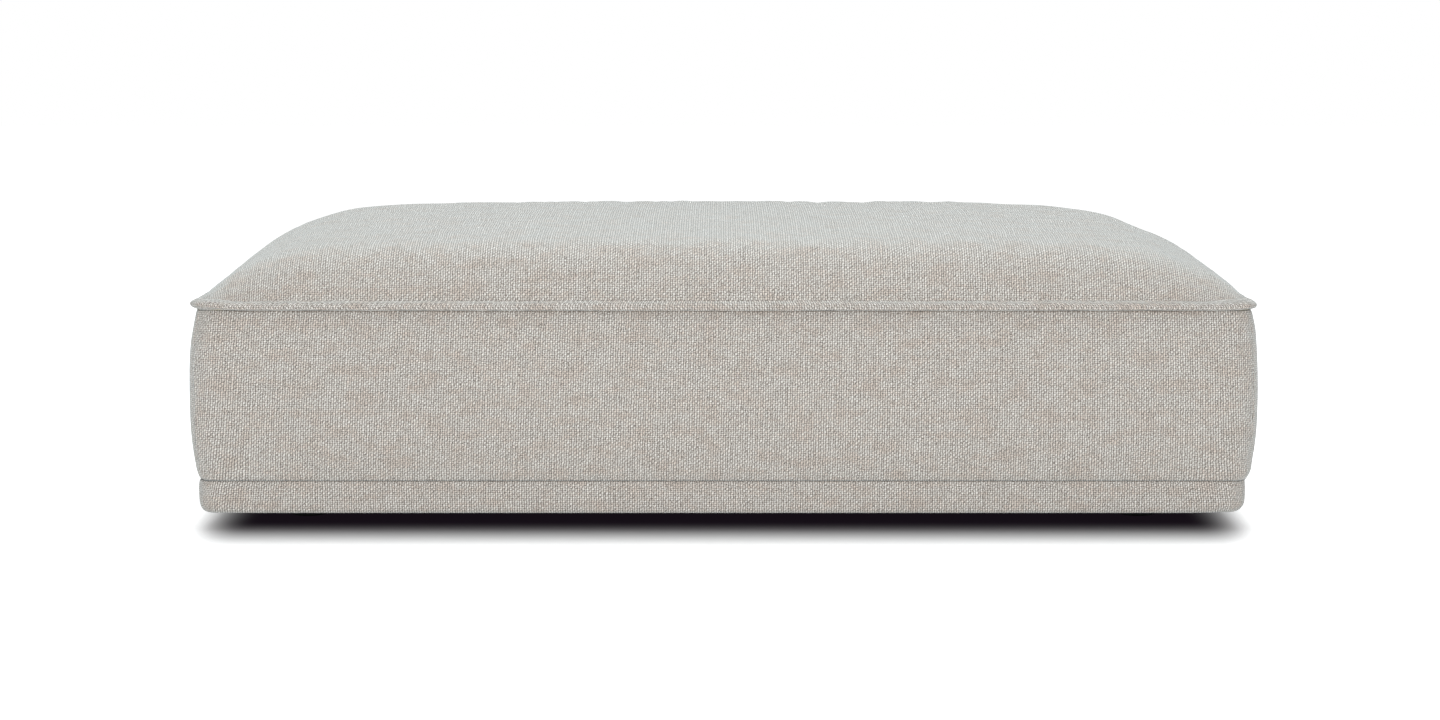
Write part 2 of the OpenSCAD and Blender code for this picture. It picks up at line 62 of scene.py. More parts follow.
HALF_D = TOP_HIGH.y - LIP_OUT
BAND_TOP_Z = round(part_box("front_band")[1].z, 3)
HEM_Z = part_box("front_band")[0].z
LIP_Z = round(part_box("front_boxing")[1].z, 3) - LIP_HALF
SEAM_Z = LIP_Z + LIP_HALF
LIP_TOP_Z = SEAM_Z + LIP_HALF
CROWN_RISE = TOP_HIGH.z - SEAM_Z

# Shape of the crown
CROWN_REACH_X, CROWN_REACH_Y = 0.332, 0.089
CROWN_FULLNESS = 3.96
CROWN_EDGE = 0.718
CROWN_FALL_X, CROWN_FALL_Y = 0.084, 0.216
CORNER_EASE = 0.040
SOFT_FOOT = 0.0012
EDGE_OVER_SEAM = 0.0018

# Where the padding has settled or stands fuller: place along the length, reach, and depth
CROWN_SETTLED = (
    (-0.645, 0.016, 0.0036), (-0.60, 0.030, -0.0016), (-0.53, 0.045, -0.0026), (-0.50, 0.08, 0.0014),
    (-0.09, 0.15, 0.0008), (0.17, 0.08, 0.0018), (0.473, 0.06, -0.0028), (0.49, 0.10, 0.0048),
    (0.54, 0.022, -0.0012), (0.59, 0.035, 0.0034),
)

# Boxing: rows, how they crowd to the seams, how far it starts over the band, how much higher it is than
# the space between its seams, and how deep it is tucked in there
BOXING_ROWS = 31
ROW_CROWDING = 0.06
BOXING_START, BOXING_SPARE = 0.0004, 0.0006
TUCK_LOW, TUCK_HIGH = 0.0014, 0.0012
# How far each side sags over the band, the least sag at the right, and how much fuller the boxing is
# under the lip at the right and drawn in at the left
SAG = {"front": 0.0008, "right": 0.0020, "rear": 0.0010, "left": 0.0008}
RIGHT_SAG, RIGHT_FULL, LEFT_DRAWN = 0.0020, 0.0018, 0.0014
# Lean of the warp down the boxing: at its middle in degrees, and the change per metre along it
LEAN_MIDDLE, LEAN_FAN = 1.23, 4.0
# Share by which the weave is pulled in at the corners, and the length that it is pulled over
BOXING_PULL, BOXING_PULL_L = 0.15, 0.07
BAND_PULL, BAND_PULL_L = 0.10, 0.16
# How far the band stands out at the left and in at the right, and how far its turn is drawn in there
BAND_SHIFT = 0.0012
TURN_IN_RIGHT, TURN_IN_LEFT = 0.0040, 0.0022
# Bulge of the band's face, and the least plan radius of its corners
FACE_BULGE = 0.0006
LEAST_R = 0.0006
# Cloth turned in at the seams at both ends, by which a panel's cut size is larger
ALLOWANCES = 0.02

# The lip's section in tenths of a millimetre, from its inner top round to its inner bottom: offset past
# the top seam, and height over it
TENTHS = 10000
LIP_SECTION = [
    (-40, 78), (-24, 68), (-8, 62), (10, 60), (28, 57), (42, 49), (52, 36), (58, 18), (60, 2),
    (59, -14), (53, -28), (42, -37), (26, -42), (8, -43), (-12, -42), (-40, -38),
]
# The same points where the crown rises steeply and the cloth runs up into it in a hollow
LIP_HOLLOW = [(-40, 140), (-24, 118), (-11, 92), (6, 74), (26, 63), (43, 51), *LIP_SECTION[6:]]
# The same points at the corners, where the cloth is drawn out flat and the underside slopes in
LIP_CORNER = [
    (-150, 90), (-95, 98), (-45, 97), (-6, 91), (18, 84), (34, 74), (42, 66), (45, 54), (44, 42),
    (40, 28), (33, 14), (24, 1), (12, -13), (0, -25), (-14, -36), (-40, -38),
]
# How far each point follows the corner's shape at the right, where the underside is fuller, how far all
# of them do at the left, and how far along the lip the shape reaches
RIGHT_CORNER = np.array([1, 1, 1, 0.85, 0.65] + [0.45] * 11)
LEFT_CORNER = 0.92
CORNER_REACH = 0.025
# Rise of the crown at which the hollow begins, the further rise over which it comes in, and its most
HOLLOW_FROM, HOLLOW_OVER, HOLLOW_SHARE = 0.0125, 0.0055, 0.5

# Stitches in the seams: pitch, length and half thickness, and the length without them at a lip's corner
STITCH_PITCH, STITCH_L, STITCH_R = 0.0056, 0.0040, 0.00045
BARE_CORNER = 0.045

# Swelling: frames, how the cloth behaves, spare cloth, how firmly the padding holds it, how far it starts
# inside its target, and the most that a point may move
SIM_FRAMES = 20
CLOTH = {"quality": 4, "mass": 0.25, "tension_stiffness": 12, "compression_stiffness": 12,
         "shear_stiffness": 6, "bending_stiffness": 0.6, "use_pressure": True,
         "uniform_pressure_force": 2, "vertex_group_mass": "held"}
TOP_SLACK, SIDE_SLACK = 0.008, 0.004
SUPPORT, EDGE_SUPPORT = 0.15, 0.6
TOP_START, SIDE_START = 0.0026, 0.002
SWELL_CAP = 0.003

# Gaps between the covering and its padding
UNDER_COVER = 0.0027
SOFT_GAP = 0.0003

# Dust cloth: its staples, and its belly between them
STAPLE_PITCH, STAPLE_IN, STAPLE_L, STAPLE_R = 0.05, 0.008, 0.011, 0.00045
DUST_BELLY, DUST_PULL = 0.0030, 0.0007

# Yarns: pitches, wander, how far one diagonal leads, how lightness varies, painted shade between the yarns
# and painted light on their crests, and painted shade at the seams
WARP_PITCH, WEFT_PITCH = 0.00304, 0.00267
YARN_WANDER = 0.0019
DIAGONAL = 0.62
CROSSING_SPREAD = 0.34
YARN_SPREAD = 0.25
FIBRE_SPREAD = 2.55
PALE_WARP = 0.10
SLUB_LIGHT = 0.12
GAP_SHADE, CREST_LIGHT = 0.24, 1.14
LIGHT_MOST = 1.2
SEAM_REACH = 0.0024
SEAM_SHADE = 0.8
HIDDEN_BY_LIP = 0.0009

# How far the floor's painted dark shade reaches from the middle, over what length it fades, and how
SHADE_X, SHADE_FADE_X = 0.594, 0.098
SHADE_Y, SHADE_FADE_Y = 0.286, 0.215
SHADE_POWER, SHADE_POWER_X = 1.18, 1.5
# Brightness of the floor in itself, to which the light on it adds, so that it keeps the shadow
FLOOR_GLOW = 0.5
FLOOR_HALF = 9
WORLD_LIGHT = 0.55

UP = np.array([0, 0, 1])
RING = np.linspace(0, 2 * np.pi, 6, endpoint=False)
SIDES = {"front": 0, "right": 90, "rear": 180, "left": 270}


# Fields and curves

def soft_noise(x, y, size, seed):
    """Smooth random field from about -1 to 1 with features of the given size."""
    cells = 64
    table = np.random.RandomState(seed).uniform(-1, 1, (cells, cells))
    gx, gy = np.asarray(x, float) / size, np.asarray(y, float) / size
    ix, iy = np.floor(gx).astype(int), np.floor(gy).astype(int)
    fx, fy = gx - ix, gy - iy
    fx, fy = fx * fx * (3 - 2 * fx), fy * fy * (3 - 2 * fy)
    at = lambda i, j: table[(ix + i) % cells, (iy + j) % cells]
    low = at(0, 0) * (1 - fx) + at(1, 0) * fx
    high = at(0, 1) * (1 - fx) + at(1, 1) * fx
    return low * (1 - fy) + high * fy


def row_noise(x, size, seed):
    """Smooth random values along one way only."""
    return soft_noise(x, 0 * x, size, seed)


def bump(x, middle, width):
    """Smooth hump of height 1 about the middle."""
    return np.exp(-((x - middle) / width) ** 2)


def fade(distance, reach):
    """1 at no distance, and less and less over the reach."""
    return np.exp(-distance / reach)


def rise(inside, reach):
    share = np.clip(inside / reach, 0, 1)
    return (1 - (1 - share) ** CROWN_FULLNESS) ** CROWN_EDGE


def crown(x, y):
    """Height of the crown over the seam."""
    fall = 1 - CROWN_FALL_X * (x / HALF_W) ** 2 - CROWN_FALL_Y * (y / HALF_D) ** 2
    return (CROWN_RISE * rise(HALF_W - np.abs(x), CROWN_REACH_X)
            * rise(HALF_D - np.abs(y), CROWN_REACH_Y) * fall)


def crown_surface(x, y):
    """Height of the top panel over the floor, eased down to the lip's pointed corners."""
    ax, ay = np.abs(x), np.abs(y)
    cx, cy = HALF_W - CORNER_R, HALF_D - CORNER_R
    dx, dy = np.maximum(ax - cx, 0), np.maximum(ay - cy, 0)
    away = np.hypot(dx, dy)
    in_corner = (dx > 0) & (dy > 0)
    inset = np.where(in_corner, CORNER_R - away, np.minimum(HALF_W - ax, HALF_D - ay))
    inset = np.maximum(inset, 0)
    scale = CORNER_R / np.maximum(away, 1e-6)
    seam = np.where(in_corner, crown(cx + dx * scale, cy + dy * scale), 0)
    ease = (1 - np.clip(inset / CORNER_EASE, 0, 1)) ** 2
    over = crown(x, y) - ease * seam - LIP_HALF
    return LIP_TOP_Z + 0.5 * (over + np.sqrt(over ** 2 + SOFT_FOOT ** 2))


def bulge(s):
    """How far the boxing stands outside the top seam at a share of its height."""
    low = BULGE_OUT - BULGE_OUT * (1 - np.clip(s / BULGE_PLACE, 0, 1)) ** LOW_ROUNDNESS
    past = np.clip((s - BULGE_PLACE) / (1 - BULGE_PLACE), 0, 1)
    return np.where(s < BULGE_PLACE, low, BULGE_OUT * (1 - past ** HIGH_ROUNDNESS))


def arc_length(points):
    """Distance along a row of points, from its first one."""
    steps = np.linalg.norm(np.diff(points, axis=0), axis=1)
    return np.concatenate([[0], np.cumsum(steps)])


def unit(vectors):
    return vectors / np.maximum(np.linalg.norm(vectors, axis=-1, keepdims=True), 1e-9)


def xyz(x, y, z):
    """Points from their coordinates, any of which may be one number for all."""
    return np.stack(np.broadcast_arrays(x, y, z), -1)


# Meshes

def grid_faces(rows, columns, closed=False):
    """Quads of a grid of points stored row by row. A closed grid joins its last column to its first."""
    steps = np.arange(columns if closed else columns - 1)
    r, c = np.meshgrid(np.arange(rows - 1), steps, indexing="ij")
    a = r * columns + c
    b = r * columns + (c + 1) % columns
    return np.stack([a, b, b + columns, a + columns], -1).reshape(-1, 4)


def new_object(name, points, faces):
    """Mesh object, linked to the scene."""
    mesh = bpy.data.meshes.new(name)
    points = np.asarray(points, float).reshape(-1, 3).tolist()
    mesh.from_pydata(points, [], [list(map(int, f)) for f in faces])
    mesh.update()
    thing = bpy.data.objects.new(name, mesh)
    bpy.context.scene.collection.objects.link(thing)
    return thing


def make_piece(name, points, faces, material, uv=None, to_seam=None):
    """Piece that rides on the footstool's one body. Cloth carries its lengths and how far a seam is."""
    piece = new_object(name, points, faces)
    mesh = piece.data
    if uv is not None:
        corner = np.empty(len(mesh.loops), int)
        mesh.loops.foreach_get("vertex_index", corner)
        layer = mesh.uv_layers.new(name="weave")
        layer.data.foreach_set("uv", np.asarray(uv, float).reshape(-1, 2)[corner].ravel())
        near = mesh.attributes.new("to_seam", "FLOAT", "POINT")
        far = np.full(len(mesh.vertices), 0.1)
        near.data.foreach_set("value", far if to_seam is None else np.asarray(to_seam, float).ravel())
    mesh.shade_smooth()
    mesh.materials.append(material)
    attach(piece, "root")
    return piece


def divide(piece):
    """One subdivision."""
    modifier = piece.modifiers.new("Subdivide", "SUBSURF")
    modifier.levels = modifier.render_levels = 1


def make_sheet(name, points, material, uv=None, to_seam=None, thickness=FABRIC_T, flip=False):
    """Piece from a grid of points, divided once and then thickened inwards."""
    faces = grid_faces(*points.shape[:2])[:, ::-1 if flip else 1]
    piece = make_piece(name, points, faces, material, uv, to_seam)
    divide(piece)
    solid = piece.modifiers.new("Thickness", "SOLIDIFY")
    solid.thickness = thickness
    solid.offset = -1
    return piece


def add_rod(verts, faces, centres, radii, out):
    """Adds a six-sided rod with capped ends along a row of centres."""
    first = len(verts)
    for centre, radius in zip(centres, radii):
        verts += [centre + (out * math.cos(a) + UP * math.sin(a)) * radius for a in RING]
    last = first + 6 * (len(centres) - 1)
    for start in range(first, last, 6):
        for j in range(6):
            a, b = start + j, start + (j + 1) % 6
            faces.append((a, b, b + 6, a + 6))
    faces.append(tuple(range(first + 5, first - 1, -1)))
    faces.append(tuple(range(last, last + 6)))


# Plan of the panels

def half_sizes(side):
    """Half length of a side, and its distance from the middle."""
    return (HALF_W, HALF_D) if side in ("front", "rear") else (HALF_D, HALF_W)


def side_stations(side, step=0.0075, corner_steps=7):
    """Places from corner seam to corner seam: share of the straight part, and angle round the corner."""
    half_length = half_sizes(side)[0] - CORNER_R
    count = int(round(2 * half_length / step))
    turn = np.radians(np.linspace(0, 45, corner_steps + 1))
    ends = np.ones(corner_steps)
    share = np.concatenate([-ends, np.linspace(-1, 1, count + 1), ends])
    angle = np.concatenate([-turn[:0:-1], np.zeros(count + 1), turn[1:]])
    return share, angle


def side_points(side, share, angle, offset, radius, z):
    """Points of one side at an offset from the top seam."""
    half_length, away = half_sizes(side)
    x = share * (half_length + offset - radius) + radius * np.sin(angle)
    y = -(away + offset - radius) - radius * np.cos(angle)
    t = math.radians(SIDES[side])
    return xyz(x * math.cos(t) - y * math.sin(t), x * math.sin(t) + y * math.cos(t), z)


def along_side(side, share, angle):
    """Length of cloth from the middle of a side to each station."""
    radius = CORNER_R + BULGE_OUT
    return share * (half_sizes(side)[0] + BULGE_OUT - radius) + radius * angle


def from_end(side, u, length):
    """How far each station is inside the given length at the end of its side, below 0 at the left end."""
    return np.sign(u) * np.maximum(np.abs(u) - (half_sizes(side)[0] - length), 0)


def toward(way, side, share, start):
    """0 to 1 towards the right or left side along the front and the rear, and 1 all along that side."""
    near = {"front": way * share, "rear": -way * share, "right": way + 0 * share, "left": -way + 0 * share}
    return np.clip((near[side] - start) / (1 - start), 0, 1) ** 2


def outward(points):
    """Level direction out of the side at each grid point."""
    along = np.gradient(points, axis=1)
    return unit(xyz(along[..., 1], -along[..., 0], 0))


def cut_size(uv):
    """Flat size that a panel was cut to."""
    return tuple(round(float(np.ptp(uv[..., k])) + ALLOWANCES, 3) for k in (0, 1))


# Node trees

class Nodes:
    """Short forms for the nodes of a material or the world."""

    def __init__(self, owner, output):
        owner.use_nodes = True
        self.tree = owner.node_tree
        self.tree.nodes.clear()
        self.out = self.node("Output" + output).inputs["Surface"]

    def put(self, socket, value):
        if isinstance(value, bpy.types.NodeSocket):
            self.tree.links.new(value, socket)
        elif hasattr(value, "__len__") and len(value) == 3 and socket.type == "RGBA":
            socket.default_value = (*value, 1)
        else:
            socket.default_value = value

    def node(self, kind, sockets=None, **options):
        made = self.tree.nodes.new("ShaderNode" + kind)
        for name, value in options.items():
            setattr(made, name, value)
        for name, value in (sockets or {}).items():
            self.put(made.inputs[name], value)
        return made

    def math(self, operation, a, b=0.0, c=0.0, clamp=False):
        return self.node("Math", {0: a, 1: b, 2: c}, operation=operation, use_clamp=clamp).outputs[0]

    def add(self, a, b, clamp=False):
        return self.math("ADD", a, b, clamp=clamp)

    def sub(self, a, b):
        return self.math("SUBTRACT", a, b)

    def mul(self, a, b):
        return self.math("MULTIPLY", a, b)

    def mul_add(self, a, b, c):
        return self.math("MULTIPLY_ADD", a, b, c)

    def step(self, value, low, high, to_low=0.0, to_high=1.0):
        """Smooth step of a value from one range to another."""
        sockets = {"Value": value, "From Min": low, "From Max": high, "To Min": to_low, "To Max": to_high}
        return self.node("MapRange", sockets, interpolation_type="SMOOTHSTEP").outputs["Result"]

    def mix(self, share, a, b, blend="MIX"):
        made = self.node("Mix", {0: share, 6: a, 7: b}, data_type="RGBA", blend_type=blend)
        return made.outputs[2]

    def show(self, shown, lighting):
        """One shader for the camera, in gloss and through glass, and the other for the light it gives."""
        sight = self.node("LightPath").outputs
        seen = self.add(sight["Is Camera Ray"], sight["Is Glossy Ray"], clamp=True)
        seen = self.add(seen, sight["Is Transmission Ray"], clamp=True)
        both = self.node("MixShader", {0: seen, 1: lighting.outputs[0], 2: shown.outputs[0]})
        self.put(self.out, both.outputs[0])


class Shader(Nodes):
    """Short forms for a surface. Its patterns lie in the object's place, or in the cloth's own lengths."""

    flat = False

    def __init__(self, name):
        self.material = bpy.data.materials.new(name)
        super().__init__(self.material, "Material")
        self.skin = self.node("BsdfPrincipled")
        self.put(self.out, self.skin.outputs[0])

    @cached_property
    def place(self):
        return self.node("TexCoord").outputs["Object"]

    def either(self, share, a, b):
        """The first value where the share is 1, and the second where it is 0."""
        return self.add(self.mul(a, share), self.mul(b, self.sub(1, share)))

    def channel(self, colour, number):
        return self.node("SeparateColor", {0: colour}).outputs[number]

    def wave(self, value):
        """Cosine of a value that counts half turns."""
        return self.math("COSINE", self.mul(value, math.pi))

    def scaled(self, *factors):
        """The place with each of its axes scaled."""
        return self.node("VectorMath", {0: self.place, 1: factors}, operation="MULTIPLY").outputs[0]

    def noise(self, scale, detail, vector=None, out="Fac", **more):
        sockets = {"Vector": vector or self.place, "Scale": scale, "Detail": detail, **more}
        return self.node("TexNoise", sockets, noise_dimensions="2D" if self.flat else "3D").outputs[out]

    def cells(self, scale, vector=None, out="Distance"):
        return self.node("TexVoronoi", {"Vector": vector or self.place, "Scale": scale}).outputs[out]

    def relief(self, height, distance, strength):
        made = self.node("Bump", {"Height": height, "Distance": distance, "Strength": strength})
        self.put(self.skin.inputs["Normal"], made.outputs[0])

    def finish(self, colour, **values):
        self.put(self.skin.inputs["Base Color"], colour)
        for name, value in values.items():
            self.put(self.skin.inputs[name.replace("_", " ")], value)
        return self.material


def srgb(*values):
    """Linear colour of an 8-bit sRGB one."""
    return tuple(v / 255 / 12.92 if v <= 10 else ((v / 255 + 0.055) / 1.055) ** 2.4 for v in values)


COOL_YARN = srgb(213, 211, 207)
MILD_YARN = srgb(215, 210, 204)
TAN_YARN = srgb(204, 193, 184)
DARK_YARN_AND_SHADE_TINT = srgb(222, 211, 201)
PAINTED_SHADE_COLOUR = srgb(31, 24, 32)
WHITE = (1, 1, 1)


# Materials

def weave(s):
    """Numbers of the yarns, roundness of the warp, where it lies on top, and the cloth's height."""
    stray = s.node("SeparateColor", {0: s.noise(130, 3, out="Color")}).outputs
    place = s.node("SeparateXYZ", {0: s.place}).outputs
    across = s.math("DIVIDE", s.mul_add(stray[0], YARN_WANDER, place[0]), WARP_PITCH)
    along = s.math("DIVIDE", s.mul_add(stray[1], YARN_WANDER, place[1]), WEFT_PITCH)
    column, row = s.math("ROUND", across), s.math("ROUND", along)
    warp_round, weft_round = s.wave(s.sub(across, column)), s.wave(s.sub(along, row))
    rising, falling = s.wave(s.add(across, along)), s.wave(s.sub(across, along))
    over = s.add(s.mul(falling, DIAGONAL), s.mul(rising, 1 - DIAGONAL))
    on_top = s.step(over, -0.35, 0.35)
    warp_high = s.mul(warp_round, s.step(over, -1.0, 0.8, 0.55, 1.0))
    weft_high = s.mul(weft_round, s.mul_add(warp_round, 0.55, 0.14))
    return column, row, warp_round, on_top, s.either(on_top, warp_high, weft_high)


def woven_cloth():
    """Coarse melange plain weave: round yarns over and under each other, no two crossings of one colour."""
    s = Shader("melange_cloth")
    s.place, s.flat = s.node("UVMap", uv_map="weave").outputs[0], True
    column, row, warp_round, on_top, high = weave(s)

    # Lightness of each crossing, of each yarn along its length, of every other warp, and of single fibres
    crossing = s.node("CombineXYZ", {0: column, 1: row}).outputs[0]
    own = s.node("TexWhiteNoise", {"Vector": crossing}, noise_dimensions="2D").outputs
    lot, hue = own["Value"], s.channel(own["Color"], 1)
    life = s.either(on_top, s.noise(330, 2, s.scaled(1, 0.12, 1)), s.noise(370, 2, s.scaled(0.12, 1, 1)))
    pale = s.mul(s.wave(column), s.step(s.noise(60, 2, s.scaled(1, 0.35, 1)), 0.35, 0.65, 0.1, 1))
    light = s.add(s.mul_add(lot, CROSSING_SPREAD, 1 - CROSSING_SPREAD / 2),
                  s.mul(s.sub(life, 0.5), YARN_SPREAD))
    light = s.mul_add(s.sub(s.noise(800, 1), 0.5), FIBRE_SPREAD, light)
    light = s.mul_add(pale, PALE_WARP, light)

    # Tint in soft clouds, and tan yarns here and there
    cloud = s.noise(52, 3, s.scaled(0.45, 1, 1), Roughness=0.6)
    warm = s.add(s.mul(hue, 0.22), s.add(cloud, s.mul(life, 0.25)))
    tint = s.mix(s.step(warm, 0.55, 0.85), COOL_YARN, MILD_YARN)
    tint = s.mix(s.step(warm, 0.70, 1.0), tint, TAN_YARN)

    # Short slubs along the weft, painted shade between the yarns and painted light on their crests
    slub = s.step(s.noise(300, 1, s.scaled(0.10, 1, 1)), 0.68, 0.78)
    light = s.math("MINIMUM", s.mul_add(slub, SLUB_LIGHT, light), LIGHT_MOST)
    light = s.mul(light, s.step(high, 0.0, 0.75, GAP_SHADE, CREST_LIGHT))

    # Painted shade along the seam creases, darkest at the gaps between the warps
    to_seam = s.node("Attribute", attribute_name="to_seam").outputs["Fac"]
    pulled = s.step(to_seam, 0.0004, SEAM_REACH, 1, 0)
    seam_shade_dots = s.sub(1, s.mul(warp_round, s.mul_add(lot, 0.5, 0.35)))
    light = s.mul(light, s.sub(1, s.mul(pulled, s.mul(seam_shade_dots, SEAM_SHADE))))
    # Darker places take a warmer tint, both where the yarns are darker of themselves and where shade is
    # painted
    tint = s.mix(s.step(light, 0.4, 1.1), DARK_YARN_AND_SHADE_TINT, tint)
    grey = s.node("CombineColor", {0: light, 1: light, 2: light}).outputs[0]
    tint = s.mix(1.0, tint, grey, "MULTIPLY")
    s.relief(s.add(s.mul_add(slub, 0.2, high), s.mul(s.noise(1500, 1), 0.3)), 0.0006, 0.8)
    return s.finish(tint, Roughness=0.92, Specular_IOR_Level=0.18, Sheen_Weight=0.62,
                    Sheen_Roughness=0.5, Sheen_Tint=(0.88, 0.98, 1.0))


def sewing_thread():
    """Twisted thread."""
    s = Shader("sewing_thread")
    twist = s.node("TexWave", {"Vector": s.place, "Scale": 900, "Distortion": 1.5}).outputs["Fac"]
    tint = s.mix(s.noise(400, 2), srgb(120, 108, 96), srgb(160, 150, 140))
    s.relief(twist, 0.0001, 0.6)
    return s.finish(tint, Roughness=0.7)


def open_cell_foam():
    s = Shader("open_cell_foam")
    cells = s.cells(700)
    tint = s.mix(s.noise(9, 3), srgb(233, 222, 186), srgb(244, 238, 214))
    # Painted shade: darker at the middle of each cell, where the relief makes its hollow
    tint = s.mix(s.step(cells, 0.55, 0.15, 0, 0.35), tint, srgb(196, 180, 140))
    s.relief(cells, 0.0006, 0.7)
    return s.finish(tint, Roughness=0.95, Specular_IOR_Level=0.2)


def fibre_wadding():
    s = Shader("fibre_wadding")
    strands = s.noise(240, 4, Distortion=2.5)
    tint = s.mix(strands, srgb(226, 226, 222), srgb(250, 250, 248))
    s.relief(s.add(strands, s.noise(22, 3)), 0.0015, 0.5)
    return s.finish(tint, Roughness=1.0, Sheen_Weight=0.3, Sheen_Roughness=0.6)


def needled_felt():
    """Grey felt of coloured scraps."""
    s = Shader("needled_felt_grey")
    fibres = s.noise(380, 4, Distortion=3)
    tint = s.mix(fibres, srgb(88, 88, 92), srgb(142, 141, 142))
    tint = s.mix(0.12, tint, s.cells(160, out="Color"))
    s.relief(fibres, 0.0007, 0.8)
    return s.finish(tint, Roughness=1.0, Sheen_Weight=0.2)


def spun_cloth():
    """Black spunbonded cloth with its grid of bonded dots."""
    s = Shader("black_spun_cloth")
    turned = s.node("Mapping", {"Vector": s.place, "Rotation": (0, 0, math.radians(45))}).outputs[0]
    parts = s.node("SeparateXYZ", {0: turned}).outputs
    turns = 2 * math.pi / 0.0016
    dots = s.mul(*(s.math("SINE", s.mul(parts[k], turns)) for k in (0, 1)))
    bond = s.step(dots, 0.2, 0.8)
    strands = s.noise(300, 3, Distortion=4)
    tint = s.mix(strands, srgb(22, 22, 24), srgb(40, 40, 42))
    tint = s.mix(s.mul(bond, 0.6), tint, srgb(14, 14, 15))
    tint = s.mix(s.step(s.noise(25, 3), 0.4, 0.7, 0, 0.3), tint, srgb(50, 50, 52))
    s.relief(s.sub(s.mul(strands, 0.5), bond), 0.00025, 0.8)
    return s.finish(tint, Roughness=0.82, Specular_IOR_Level=0.3)


def moulded_plastic():
    """Black plastic with an orange-peel skin and scuffs."""
    s = Shader("black_moulded_plastic")
    scuff = s.noise(60, 5, Distortion=1.5)
    tint = s.mix(s.step(scuff, 0.55, 0.75), srgb(20, 19, 21), srgb(44, 43, 45))
    s.relief(s.noise(1100, 2), 0.00008, 0.5)
    dull = s.step(scuff, 0.4, 0.7, 0.5, 0.72)
    return s.finish(tint, Roughness=dull, Specular_IOR_Level=0.35)


def plated_steel(name, rough, tint=(0.66, 0.67, 0.69)):
    """Zinc-plated steel with faint spangle and scratches."""
    s = Shader(name)
    spangle = s.channel(s.cells(260, out="Color"), 0)
    dull = s.noise(90, 4)
    colour = s.mix(s.mul(spangle, 0.25), tint, tuple(0.8 * c for c in tint))
    colour = s.mix(s.step(dull, 0.55, 0.8, 0, 0.4), colour, (0.42, 0.42, 0.43))
    s.relief(s.noise(900, 3, s.scaled(1, 0.08, 1), Roughness=0.6), 0.00004, 0.5)
    dull = s.step(dull, 0.3, 0.7, rough, rough + 0.25)
    return s.finish(colour, Metallic=1.0, Roughness=dull)


def spring_wire():
    """Oil-tempered wire: dark and slightly blued, with drawing lines and a few rust specks."""
    s = Shader("oil_tempered_wire")
    blue = s.noise(30, 3)
    tint = s.mix(blue, (0.17, 0.175, 0.19), (0.30, 0.30, 0.31))
    tint = s.mix(s.step(s.noise(420, 3), 0.66, 0.74, 0, 0.7), tint, (0.30, 0.16, 0.09))
    s.relief(s.noise(1600, 2), 0.00005, 0.5)
    return s.finish(tint, Metallic=0.9, Roughness=s.step(blue, 0.3, 0.7, 0.3, 0.48))


def pine(axis):
    """Softwood with growth bands, fibres and knots, its grain along one axis."""
    s = Shader("pine_along_" + "xyz"[axis])
    long_way = s.scaled(*(0.07 if k == axis else 1.0 for k in range(3)))
    knot_way = s.scaled(*(0.5 if k == axis else 1.0 for k in range(3)))
    sway = s.noise(14, 2, long_way, out="Color")
    bent = s.node("VectorMath", {0: sway, 1: (0.05, 0.05, 0.05), 2: long_way}, operation="MULTIPLY_ADD")
    bands = s.node("TexWave", {"Vector": bent.outputs[0], "Scale": 26, "Distortion": 2.2, "Detail": 2},
                   bands_direction="DIAGONAL", wave_profile="SAW").outputs["Fac"]
    fibre = s.noise(1400, 2, long_way)
    tint = s.mix(s.step(bands, 0.2, 0.95), srgb(226, 198, 150), srgb(190, 146, 92))
    tint = s.mix(s.mul(fibre, 0.35), tint, srgb(168, 126, 80))
    tint = s.mix(s.step(s.cells(5.5, knot_way), 0.1, 0.05), tint, srgb(104, 66, 40))
    s.relief(s.add(fibre, s.mul(bands, 0.4)), 0.0003, 0.5)
    return s.finish(tint, Roughness=0.68)


def hardboard():
    """Brown pressed fibres with darker chips."""
    s = Shader("brown_hardboard")
    fibres, chips = s.noise(520, 4, Distortion=2), s.noise(70, 4)
    tint = s.mix(fibres, srgb(96, 66, 42), srgb(146, 108, 72))
    tint = s.mix(s.step(chips, 0.5, 0.8, 0, 0.5), tint, srgb(78, 52, 34))
    s.relief(fibres, 0.0002, 0.5)
    return s.finish(tint, Roughness=s.step(chips, 0.3, 0.7, 0.55, 0.75))


def finish_solids():
    """Gives each solid that still shows its own material, by what its name says it is."""
    along_x, along_y, upright = pine(0), pine(1), pine(2)
    board, wire = hardboard(), spring_wire()
    zinc = plated_steel("zinc_plated_steel", 0.28)
    yellow = plated_steel("yellow_zinc_steel", 0.3, (0.72, 0.62, 0.38))
    plastic = moulded_plastic()
    kinds = (
        (("zigzag_spring", "spring_tie_wires"), wire),
        (("spring_clips", "clip_nails", "foot_screws"), zinc),
        (("frame_screws",), yellow),
        (("_foot",), plastic),
        (("_board",), board),
        (("_post",), upright),
        (("centre_stretcher", "left_bottom", "right_bottom", "left_top", "right_top"), along_y),
        (("_rail", "corner_blocks"), along_x),
    )
    for name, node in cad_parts.items():
        finish = next((material for words, material in kinds if any(word in name for word in words)), None)
        if finish:
            for place in node.material_slots:
                place.material = finish


# Top panel

def graded(half, square_steps=5, fine=0.004, coarse=0.0085, growth=1.16):
    """Positions from -half to half, closest in the corner squares at both ends."""
    edge = [half - CORNER_R * i / square_steps for i in range(square_steps + 1)]
    step = fine
    while step < coarse:
        step *= growth
        edge.append(edge[-1] - step)
    middle = np.linspace(-edge[-1], edge[-1], int(round(2 * edge[-1] / coarse)) + 1)
    return np.concatenate([-np.array(edge[:-1]), middle, np.array(edge[:-1])[::-1]])


